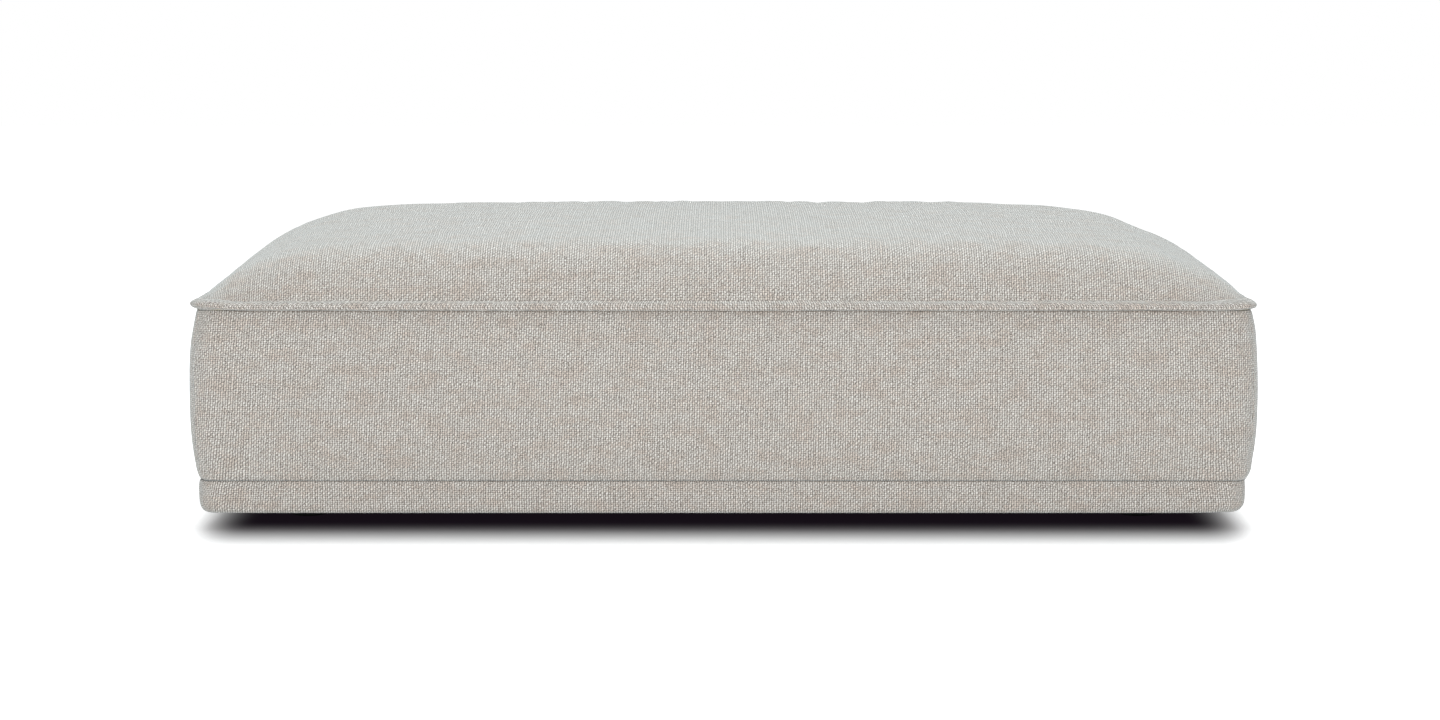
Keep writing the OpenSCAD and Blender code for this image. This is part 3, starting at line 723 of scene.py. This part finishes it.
def round_corners(x, y, half_x=HALF_W, half_y=HALF_D, radius=CORNER_R):
    """Moves the four corner squares of a rectangle's grid into quarter discs."""
    cx, cy = half_x - radius, half_y - radius
    p, q = np.maximum(np.abs(x) - cx, 0) / radius, np.maximum(np.abs(y) - cy, 0) / radius
    nx = np.where(p > 0, np.sign(x) * (cx + radius * p * np.sqrt(1 - q * q / 2)), x)
    ny = np.where(q > 0, np.sign(y) * (cy + radius * q * np.sqrt(1 - p * p / 2)), y)
    return nx, ny


def border(shape):
    """Marks the outermost points of a grid."""
    edge = np.ones(shape, bool)
    edge[1:-1, 1:-1] = False
    return edge


def edge_place(x, y, half_x=HALF_W, half_y=HALF_D):
    """Distance inside the nearest edge of a rectangle, and place along that edge."""
    inset_x, inset_y = half_x - np.abs(x), half_y - np.abs(y)
    return np.minimum(inset_x, inset_y), np.where(inset_x < inset_y, y, x)


def top_target():
    """Grid of the top panel as it should lie, and the cloth's own lengths along it."""
    gx, gy = graded(HALF_W), graded(HALF_D)
    x, y = round_corners(*np.meshgrid(gx, gy))
    z = np.where(border(x.shape), SEAM_Z + EDGE_OVER_SEAM, crown_surface(x, y))
    u = arc_length(xyz(gx, 0, crown_surface(gx, 0)))
    v = arc_length(xyz(0, gy, crown_surface(0, gy)))
    uv = np.stack(np.meshgrid(u - u[len(u) // 2], v - v[len(v) // 2]), -1)
    return xyz(x, y, z), uv


def sag_top(points):
    """Softer right shoulder, faint hollows of use and gathers along the seam."""
    x, y, z = points[..., 0], points[..., 1], points[..., 2]
    height = np.clip((z - LIP_TOP_Z) / CROWN_RISE, 0, 1)
    drop = sum(depth * bump(x, place, reach) for place, reach, depth in CROWN_SETTLED)
    drop = drop + 0.0010 * soft_noise(x, y, 0.16, 3) + 0.0005 * soft_noise(x, y, 0.06, 4)
    z = z - drop * np.minimum(height * 2.2, 1)
    inset, along = edge_place(x, y)
    near_seam = fade(np.maximum(inset, 0), 0.016) * (inset > 0.0005)
    z = z + near_seam * (0.0007 * row_noise(along, 0.019, 5) + 0.0005 * row_noise(along, 0.0085, 6))
    return xyz(x, y, z)


# Cloth simulation

def cloth_copy(name, points, faces, hold, slack):
    """Cloth set to swell under pressure, held fast where hold is 1 and softly where it is less."""
    piece = new_object(name, points, faces)
    group = piece.vertex_groups.new(name="held")
    weights = np.round(hold.reshape(-1), 2)
    for weight in np.unique(weights):
        group.add([int(i) for i in np.nonzero(weights == weight)[0]], float(weight), "REPLACE")
    cloth = piece.modifiers.new("Cloth", "CLOTH")
    for setting, value in CLOTH.items():
        setattr(cloth.settings, setting, value)
    cloth.settings.shrink_min = -slack
    cloth.settings.effector_weights.gravity = 0
    cloth.collision_settings.use_collision = False
    cloth.point_cache.frame_start, cloth.point_cache.frame_end = 1, SIM_FRAMES
    return piece


def simulate(pieces):
    """Steps all cloth pieces together and returns their points, then removes them."""
    scene = bpy.context.scene
    for number in range(1, SIM_FRAMES + 1):
        scene.frame_set(number)
    graph = bpy.context.evaluated_depsgraph_get()
    moved = []
    for piece in pieces:
        mesh = piece.evaluated_get(graph).to_mesh()
        co = np.empty(len(mesh.vertices) * 3)
        mesh.vertices.foreach_get("co", co)
        moved.append(co.reshape(-1, 3))
    for piece in pieces:
        mesh = piece.data
        bpy.data.objects.remove(piece)
        bpy.data.meshes.remove(mesh)
    scene.frame_set(1)
    return moved


def capped(target, moved):
    """Moved points, none further than the cap from the target."""
    away = moved.reshape(target.shape) - target
    length = np.linalg.norm(away, axis=-1, keepdims=True)
    return target + away * np.minimum(1, SWELL_CAP / np.maximum(length, 1e-9))


def swell(top, ring):
    """Swells the top and the ring of boxings against their padding, from a slightly smaller shape."""
    inset = edge_place(top[..., 0], top[..., 1])[0]
    start_top = top.copy()
    start_top[..., 2] -= TOP_START * np.clip(inset / 0.05, 0, 1)
    hold_top = np.where(border(inset.shape), 1, SUPPORT + EDGE_SUPPORT * fade(np.maximum(inset, 0), 0.012))
    rows, columns = ring.shape[:2]
    height = np.linspace(0, 1, rows)[:, None]
    normal = outward(np.concatenate([ring, ring[:, :1]], axis=1))[:, :-1]
    start_ring = ring - normal * SIDE_START * np.sin(np.pi * height)[..., None]
    hold_ring = SUPPORT + (1 - SUPPORT) * fade(np.minimum(height, 1 - height), 0.02) + 0 * ring[..., 0]
    copies = [
        cloth_copy("top_swelling", start_top, grid_faces(*inset.shape), hold_top, TOP_SLACK),
        cloth_copy("side_swelling", start_ring, grid_faces(rows, columns, True), hold_ring, SIDE_SLACK),
    ]
    moved_top, moved_ring = simulate(copies)
    return capped(top, moved_top), capped(ring, moved_ring)


# Boxing and band

def boxing_target(side):
    """Grid of one boxing panel from its lower seam to the lip, and the cloth's own lengths along it."""
    share, angle = side_stations(side)
    s = np.linspace(0, 1, BOXING_ROWS)
    s = s - ROW_CROWDING * np.sin(2 * np.pi * s)
    share, rows = np.meshgrid(share, s)
    angle = np.meshgrid(angle, s)[0]
    offset = bulge(rows) - TUCK_LOW * fade(rows, 0.012) - TUCK_HIGH * fade(1 - rows, 0.01)
    offset = offset + overhang(side, share, rows)
    z = BAND_TOP_Z + BOXING_START + (LIP_Z + BOXING_SPARE - BAND_TOP_Z) * rows
    points = side_points(side, share, angle, offset, CORNER_R + offset, z)
    u = along_side(side, share, angle)
    v = np.broadcast_to(arc_length(np.stack([bulge(s), z[:, 0]], -1))[:, None], u.shape)
    pull = fade(rows, 0.3) * from_end(side, u, BOXING_PULL_L) * BOXING_PULL
    lean = np.tan(np.radians(LEAN_MIDDLE - LEAN_FAN * u)) * (v.max() - v)
    return points, np.stack([u - pull + lean, v], -1)


def overhang(side, share, rows):
    """The boxing sags a little over the band, and is fuller under the lip at the right than at the left."""
    right, left = toward(1, side, share, 0.86), toward(-1, side, share, 0.86)
    low = np.maximum(SAG[side], RIGHT_SAG * right) * bump(rows, 0.055, 0.05)
    return low + (RIGHT_FULL * right - LEFT_DRAWN * left) * bump(rows, 0.93, 0.13)


def wrinkle_boxing(side, points, uv):
    """Soft undulation, and short gathers that fade away from both seams."""
    u, v = uv[..., 0], uv[..., 1]
    seed = 20 + 10 * list(SIDES).index(side)
    wave = 0.0010 * soft_noise(u, v, 0.11, seed) + 0.0005 * soft_noise(u, v, 0.045, seed + 1)
    low, high = fade(v, 0.018), fade(v.max() - v, 0.014)
    gather = row_noise(u, 0.017, seed + 2) + 0.6 * row_noise(u, 0.008, seed + 3)
    wave = wave * (1 - low) * (1 - high) + 0.0006 * gather * (low * (1 - fade(v, 0.002)) + high)
    return points + outward(points) * wave[..., None]


def boxing_panel(side, points, uv, cloth):
    v = uv[..., 1]
    # Distance to the seams, along which the cloth's shader paints shade; the lip hides part of the upper one
    to_seam = np.minimum(v, v.max() - v + HIDDEN_BY_LIP)
    panel = make_sheet(side + "_boxing_cloth", points, cloth, uv, to_seam)
    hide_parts(side + "_boxing")
    cut_size(uv)


def band_section():
    """Offset and height down the band's face, round its turn and in along its hem."""
    start, low = BAND_TOP_Z - 0.0025, HEM_Z + TURN_R
    line = [(-0.0026, BAND_TOP_Z + 0.0006), (-0.0008, BAND_TOP_Z - 0.0004), (-0.0002, start)]
    for share in np.arange(1, 8) / 7:
        line.append((FACE_BULGE * math.sin(math.pi * share), start - (start - low) * share))
    for a in math.pi / 2 * np.arange(1, 9) / 8:
        across, down = math.cos(a) ** TURN_FULLNESS, math.sin(a) ** TURN_FULLNESS
        line.append((TURN_R * across - TURN_R, low - TURN_R * down))
    line += [(-inset, HEM_Z) for inset in (0.024, 0.032, 0.040, HEM_W)]
    return np.array(line)


def band_drift(side, share, z):
    """How far the band lies off its plane at the right and left, its turn drawn in there."""
    right, left = toward(1, side, share, 0.9), toward(-1, side, share, 0.9)
    low = np.clip((HEM_Z + TURN_R - z) / TURN_R, 0, 1)
    return BAND_SHIFT * (left - right) - (TURN_IN_RIGHT * right + TURN_IN_LEFT * left) * low


def band_panel(side, cloth):
    share, angle = side_stations(side)
    section = band_section()
    share, offset = np.meshgrid(share, section[:, 0])
    angle, z = np.meshgrid(angle, section[:, 1])
    radius = np.maximum(CORNER_R + offset, LEAST_R)
    u = along_side(side, share, angle)
    v = -arc_length(section)[:, None] + 0 * u
    seed = 60 + 10 * list(SIDES).index(side)
    puff = 0.0004 * soft_noise(u, z, 0.05, seed) + 0.0003 * soft_noise(u, z, 0.014, seed + 1)
    on_face = np.clip((z - HEM_Z) / 0.01, 0, 1) * np.clip((BAND_TOP_Z + 0.001 - z) / 0.004, 0, 1)
    offset = offset + puff * on_face + band_drift(side, share, z)
    points = side_points(side, share, angle, offset, radius, z)
    pull = BAND_PULL * from_end(side, u, BAND_PULL_L) * (v / v.min())
    uv = np.stack([u - pull, v], -1)
    piece = make_sheet(side + "_band_cloth", points, cloth, uv, -v, flip=True)
    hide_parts(side + "_band")
    length = 2 * along_side(side, 1.0, math.pi / 4)


# Lip and stitches

def sweep_loop(section, radius_at, step=0.0075, corner_steps=8):
    """Section swept round the body, a row for each of its points, and the distance along the columns."""
    offset, z = np.array(section)[:, 0][:, None], np.array(section)[:, 1][:, None]
    grids, lengths = [], []
    start = 0.0
    for side in SIDES:
        share, angle = (values[:-1] for values in side_stations(side, step, corner_steps))
        grids.append(side_points(side, share, angle, offset, radius_at(offset), z))
        u = along_side(side, share, angle)
        lengths.append(start + u - u[0])
        start += 2 * along_side(side, 1.0, math.pi / 4)
    return np.concatenate(grids, axis=1), np.concatenate(lengths)


def lip_sweep(section):
    """The lip's grid for one section, its plan radius smallest at its edge, and the distance along it."""
    def radius_at(offset):
        pointed = CORNER_R + (LIP_CORNER_R - CORNER_R) * offset / LIP_OUT
        return np.where(offset > 0, pointed, CORNER_R - offset)

    return sweep_loop([(offset / TENTHS, SEAM_Z + height / TENTHS) for offset, height in section], radius_at)


def lip_piece(cloth):
    """Folded edge round the top, turned up into the crown and drawn out at its corners."""
    plain, u = lip_sweep(LIP_SECTION)
    x, y = plain[..., 0], plain[..., 1]
    steep = crown_surface(x[0], y[0]) - SEAM_Z
    steep = HOLLOW_SHARE * np.clip((steep - HOLLOW_FROM) / HOLLOW_OVER, 0, 1)
    from_corner = np.hypot(np.abs(x) - HALF_W, np.abs(y) - HALF_D).min(axis=0)
    most = np.where(x[0] > 0, RIGHT_CORNER[:, None], LEFT_CORNER)
    drawn = bump(from_corner, 0, CORNER_REACH)[None] * most
    drawn[:3] = np.minimum(drawn[:3] * 1.08, 1)
    points = plain + (lip_sweep(LIP_HOLLOW)[0] - plain) * steep[None, :, None]
    points = points + (lip_sweep(LIP_CORNER)[0] - plain) * drawn[..., None]
    points[..., 2] += (0.0003 * row_noise(u, 0.05, 90) + 0.00022 * row_noise(u, 0.016, 91))[None]
    middle = points.mean(axis=0, keepdims=True)
    points = middle + (points - middle) * (1 + 0.05 * row_noise(u, 0.012, 92)[None, :, None])
    faces = grid_faces(*points.shape[:2], closed=True)[:, ::-1]
    uv = np.stack(np.meshgrid(u, arc_length(np.array(LIP_SECTION) / TENTHS)), -1)
    piece = make_piece("top_lip", points, faces, cloth, uv)
    divide(piece)
    return piece


def stitch_row(name, thread, offset, z, bare_corner=0.0):
    """Short stitches end to end round the body, lying in a seam, none within a distance of its corners."""
    points = sweep_loop([(offset, z)], lambda o: CORNER_R + o, step=0.003, corner_steps=14)[0][0]
    line = np.concatenate([points, points[:1]])
    run = arc_length(line)
    count = int(run[-1] / STITCH_PITCH)
    rng = np.random.RandomState(7)
    # Place along the stitch, thickness and lift
    shape = np.array([(-0.5, 0.25, -0.5), (-0.38, 0.85, 0.1), (0.0, 1.0, 0.5), (0.38, 0.85, 0.1),
                      (0.5, 0.25, -0.5)])

    def on_line(distance):
        return np.array([np.interp(distance, run, line[:, k]) for k in range(3)])

    verts, faces = [], []
    for i in range(count):
        at = (i + 0.5) * run[-1] / count
        here = on_line(at)
        if math.hypot(abs(here[0]) - HALF_W, abs(here[1]) - HALF_D) < bare_corner:
            continue
        along = unit(on_line(min(at + 0.001, run[-1])) - here)
        out = np.cross(along, UP)
        tilt = rng.normal(0, 0.05)
        centres = [here + along * t * STITCH_L + out * lift * STITCH_R * 0.7 + UP * tilt * t * STITCH_L
                   for t, _, lift in shape]
        add_rod(verts, faces, centres, STITCH_R * shape[:, 1], out)
    return make_piece(name, verts, faces, thread)


# Padding under the covering

def rim(grid):
    """Points round the edge of a grid, in order."""
    return np.concatenate([grid[0], grid[1:, -1], grid[-1, -2::-1], grid[-2:0:-1, 0]])


def layered_pad(name, top, loops, bottom, material):
    """Closed pad: a top grid, loops down its side and a bottom grid of the same size."""
    rows, columns = top.shape[:2]
    faces, points = [grid_faces(rows, columns)], [top.reshape(-1, 3)]
    outermost = rim(np.arange(rows * columns).reshape(rows, columns))
    above, count = outermost, rows * columns

    def join(ring):
        faces.append(np.stack([above, ring, np.roll(ring, -1), np.roll(above, -1)], -1))
        return ring

    for loop in loops:
        points.append(rim(loop))
        above = join(count + np.arange(len(above)))
        count += len(above)
    join(outermost + count)
    faces.append(grid_faces(rows, columns)[:, ::-1] + count)
    points.append(bottom.reshape(-1, 3))
    return make_piece(name, np.concatenate(points), np.concatenate(faces), material)


def crown_filling(top):
    """Domed fibre pad under the top panel, with a skirt over the edge of the foam block."""
    normal = unit(np.cross(np.gradient(top, axis=1), np.gradient(top, axis=0)))
    dome = top - normal * UNDER_COVER
    x, y = top[..., 0] * (1 - UNDER_COVER / HALF_W), top[..., 1] * (1 - UNDER_COVER / HALF_D)
    low = SEAM_Z + SOFT_GAP
    dome = np.where(border(x.shape)[..., None], xyz(x, y, low), dome)
    dome[..., 2] = np.maximum(dome[..., 2], low)
    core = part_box("foam_core")[1]
    inner_x, inner_y = top[..., 0] * core.x / HALF_W, top[..., 1] * core.y / HALF_D
    under, skirt = xyz(inner_x, inner_y, core.z + 0.0008), xyz(inner_x, inner_y, low)
    piece = layered_pad("crown_filling", dome, [skirt], under, fibre_wadding())
    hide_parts("crown_pad")


def side_filling(side, panel, foam):
    """Foam on one side, following its boxing and band, nipped in at the lower seam."""
    share, angle = side_stations(side)
    inner = (panel - outward(panel) * UNDER_COVER)[2:-1]
    under, nip, over_seam = FABRIC_T + SOFT_GAP, -0.0103, 0.0026
    turn = TURN_R - under
    lines = [(-PAD_IN, HEM_Z + under)]
    for a in math.pi / 2 * np.arange(8, -1, -1) / 8:
        lines.append((turn * math.cos(a) - TURN_R, HEM_Z + TURN_R - turn * math.sin(a)))
    lines += [(-under, BAND_TOP_Z - over_seam), (nip, BAND_TOP_Z - over_seam), (nip, BAND_TOP_Z + over_seam)]

    def at(offset, z):
        drift = band_drift(side, share, z) if z < BAND_TOP_Z and offset > -PAD_IN else 0
        return side_points(side, share, angle, offset + drift, np.maximum(CORNER_R + offset, LEAST_R), z)

    rows = [at(offset, z) for offset, z in lines] + list(inner)
    rows += [at(-over_seam, SEAM_Z - 0.0008), at(-PAD_IN, SEAM_Z - 0.0008)]
    points = np.stack(rows)
    count, columns = points.shape[:2]
    last = columns * (count - 1)
    faces = [tuple(f) for f in grid_faces(count, columns)]
    faces += [(last + c, last + c + 1, c + 1, c) for c in range(columns - 1)]
    faces.append(tuple(r * columns for r in range(count)))
    faces.append(tuple(r * columns + columns - 1 for r in range(count - 1, -1, -1)))
    piece = make_piece(side + "_side_foam", points, faces, foam)
    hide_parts(side + "_pad")


def rounded_grid(half_x, half_y, radius, step):
    """Plan grid over a rectangle with round corners."""
    lines = []
    for half in (half_x, half_y):
        straight = half - radius
        middle = np.linspace(-straight, straight, int(round(2 * straight / step)) + 1)
        edge = np.linspace(straight, half, 4)[1:]
        lines.append(np.concatenate([-edge[::-1], middle, edge]))
    return round_corners(*np.meshgrid(*lines), half_x, half_y, radius)


def foam_block(foam):
    """Firm foam block, its edges eased and its faces a little uneven from the cut."""
    low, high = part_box("foam_core")
    x, y = rounded_grid(high.x - 0.0005, high.y - 0.0005, CORE_R, 0.02)
    ease = 0.004
    face_x, face_y = x * (1 - ease / high.x), y * (1 - ease / high.y)
    wave = 0.0005 * soft_noise(x, y, 0.09, 130)
    top = xyz(face_x, face_y, high.z - 0.0002 - 0.0006 + wave)
    bottom = xyz(face_x, face_y, low.z + 0.0006 + wave)
    loops = [xyz(x * k, y * k, z) for k, z in (
        (0.9985, high.z - 0.0016), (1.0, high.z - 0.005), (0.998, (low.z + high.z) / 2),
        (1.0, low.z + 0.005), (0.9985, low.z + 0.0016))]
    piece = layered_pad("foam_block", top, loops, bottom, foam)
    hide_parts("foam_core")


def felt_sheet():
    """Needled felt laid over the springs."""
    low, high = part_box("spring_felt")
    x, y = rounded_grid(high.x - 0.001, high.y - 0.001, CORE_R, 0.016)
    points = xyz(x, y, high.z - 0.0004 + 0.0003 * soft_noise(x, y, 0.05, 131))
    piece = make_sheet("needled_felt", points, needled_felt(), thickness=high.z - low.z - 0.0008)
    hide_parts("spring_felt")


# Underside

def dust_sheet():
    """Thin black cloth stapled under the frame, hanging a little between its staples."""
    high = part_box("dust_cover")[1]
    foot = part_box("front_right_foot")
    foot_x, foot_y = abs(foot[0].x + foot[1].x) / 2, abs(foot[0].y + foot[1].y) / 2
    x, y = rounded_grid(high.x, high.y, 0.002, 0.014)
    inset, along = edge_place(x, y, high.x, high.y)
    free = 1 - np.exp(-(np.hypot(np.abs(x) - foot_x, np.abs(y) - foot_y) / 0.075) ** 4)
    belly = DUST_BELLY * np.sin(np.pi * np.clip(inset / 0.30, 0, 1) / 2) * free
    pulled = DUST_PULL * fade(np.maximum(inset - STAPLE_IN, 0), 0.03)
    pulled = pulled * (1 + np.cos(2 * np.pi * along / STAPLE_PITCH)) * (inset > 0.009)
    ripple = 0.0005 * soft_noise(x, y, 0.05, 140) * np.clip(inset / 0.05, 0, 1) * free
    points = xyz(x, y, high.z - 0.0001 - belly - pulled + ripple)
    piece = make_sheet("dust_cloth_sheet", points, spun_cloth(), thickness=0.0004)
    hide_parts("dust_cover")
    staples()


def staples():
    """Wire staples round the edge of the dust cloth."""
    rng = np.random.RandomState(11)
    low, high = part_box("dust_cover")
    half_x, half_y = high.x - STAPLE_IN, high.y - STAPLE_IN
    spots = []
    for way in (-1, 1):
        for x in np.arange(-half_x + STAPLE_PITCH / 2, half_x, STAPLE_PITCH):
            spots.append((x, way * half_y, 0))
        for y in np.arange(-half_y + STAPLE_PITCH / 2, half_y, STAPLE_PITCH):
            spots.append((way * half_x, y, math.pi / 2))
    shape = [(-0.5, 0.0008), (-0.47, 0.0), (-0.3, -STAPLE_R), (0.3, -STAPLE_R), (0.47, 0.0), (0.5, 0.0008)]
    verts, faces = [], []
    for x, y, turn in spots:
        a = turn + rng.normal(0, 0.12)
        along, out = np.array([math.cos(a), math.sin(a), 0]), np.array([-math.sin(a), math.cos(a), 0])
        middle = np.array([x, y, low.z]) + out * rng.normal(0, 0.0012)
        centres = [middle + along * t * STAPLE_L + UP * h for t, h in shape]
        add_rod(verts, faces, centres, [STAPLE_R] * len(shape), out)
    return make_piece("dust_cloth_staples", verts, faces, plated_steel("staple_steel", 0.3))


# Assembly of the covering

def covering():
    """The whole covering with the padding that follows its shape."""
    cloth, foam = woven_cloth(), open_cell_foam()
    top, top_uv = top_target()
    sides = {side: boxing_target(side) for side in SIDES}
    ring = np.concatenate([points[:, :-1] for points, _ in sides.values()], axis=1)
    top, ring = swell(top, ring)
    top = sag_top(top)
    cover = make_sheet("top_cover", top, cloth, top_uv)
    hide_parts("cover_top")
    crown_filling(top)
    lip = lip_piece(cloth)
    thread = sewing_thread()
    sewn = stitch_row("lip_stitches", thread, -0.0002, LIP_Z - 0.0004, BARE_CORNER)
    cut_size(top_uv)
    start = 0
    for side, (target, uv) in sides.items():
        columns = target.shape[1]
        taken = (start + np.arange(columns)) % ring.shape[1]
        start += columns - 1
        points = wrinkle_boxing(side, ring[:, taken], uv)
        boxing_panel(side, points, uv, cloth)
        side_filling(side, points, foam)
        band_panel(side, cloth)
    stitch_row("lower_stitches", thread, -0.0016, BAND_TOP_Z + 0.0002)
    foam_block(foam)


# Stage, lights and camera

def stage():
    """Pale floor with a soft dark shade painted under the footstool, which also takes its real shadow."""
    corners = [(x * FLOOR_HALF, y * FLOOR_HALF, 0) for x, y in ((-1, -1), (1, -1), (1, 1), (-1, 1))]
    floor = new_object("floor", corners, [(0, 1, 2, 3)])
    material = bpy.data.materials.new("pale_floor")
    s = Nodes(material, "Material")
    place = s.node("SeparateXYZ", {0: s.node("TexCoord").outputs["Object"]}).outputs
    x, y = (s.math("MAXIMUM", s.sub(s.math("ABSOLUTE", place[k]), dark), 0)
            for k, dark in enumerate((SHADE_X, SHADE_Y)))
    x = s.math("POWER", s.math("DIVIDE", x, SHADE_FADE_X), SHADE_POWER_X)
    y = s.math("DIVIDE", y, SHADE_FADE_Y)
    away = s.math("SQRT", s.add(s.mul(x, x), s.mul(y, y)))
    clear = s.math("POWER", s.step(away, 0.0, 1.0), SHADE_POWER)
    # Painted shade: the floor's own colour and glow are dark under the footstool and fade to white away from
    # it
    ground = s.mix(clear, PAINTED_SHADE_COLOUR, WHITE)
    glow, lit = s.node("Emission", {0: ground, 1: FLOOR_GLOW}), s.node("BsdfDiffuse", {0: ground})
    shown = s.node("AddShader", {0: glow.outputs[0], 1: lit.outputs[0]})
    s.show(shown, s.node("BsdfDiffuse", {0: (0.9, 0.9, 0.9)}))
    floor.data.materials.append(material)

    world = bpy.data.worlds.new("soft_white")
    bpy.context.scene.world = world
    w = Nodes(world, "World")
    w.show(w.node("Background", {0: WHITE}), w.node("Background", {0: (0.98, 0.99, 1), 1: WORLD_LIGHT}))


def lamp(name, place, target, size, power, colour):
    data = bpy.data.lights.new(name, "AREA")
    data.shape = "RECTANGLE"
    data.size, data.size_y = size
    data.energy = power
    data.color = colour
    lit = bpy.data.objects.new(name, data)
    lit.location = place
    lit.rotation_euler = (Vector(target) - Vector(place)).to_track_quat("-Z", "Y").to_euler()
    bpy.context.scene.collection.objects.link(lit)


def lights():
    lamp("overhead", (0, 0.3, 2.6), (0, 0, 0.3), (3.4, 2.4), 50, (0.92, 0.985, 1))
    lamp("front_fill", (0, -4.2, 1.0), (0, 0, 0.2), (3.6, 1.8), 63, (1, 0.98, 0.955))


def camera():
    """The photograph's view: from the front, looking down by a little."""
    data = bpy.data.cameras.new("camera")
    data.lens, data.sensor_width = 70.5, 36
    eye = bpy.data.objects.new("camera", data)
    eye.location = (-0.004, -3.863, 0.705)
    eye.rotation_euler = (math.radians(90 - 7.874), 0, 0)
    bpy.context.scene.collection.objects.link(eye)
    bpy.context.scene.camera = eye


covering()
felt_sheet()
dust_sheet()
finish_solids()
stage()
lights()
camera()
bpy.context.scene.view_settings.view_transform = "Standard"
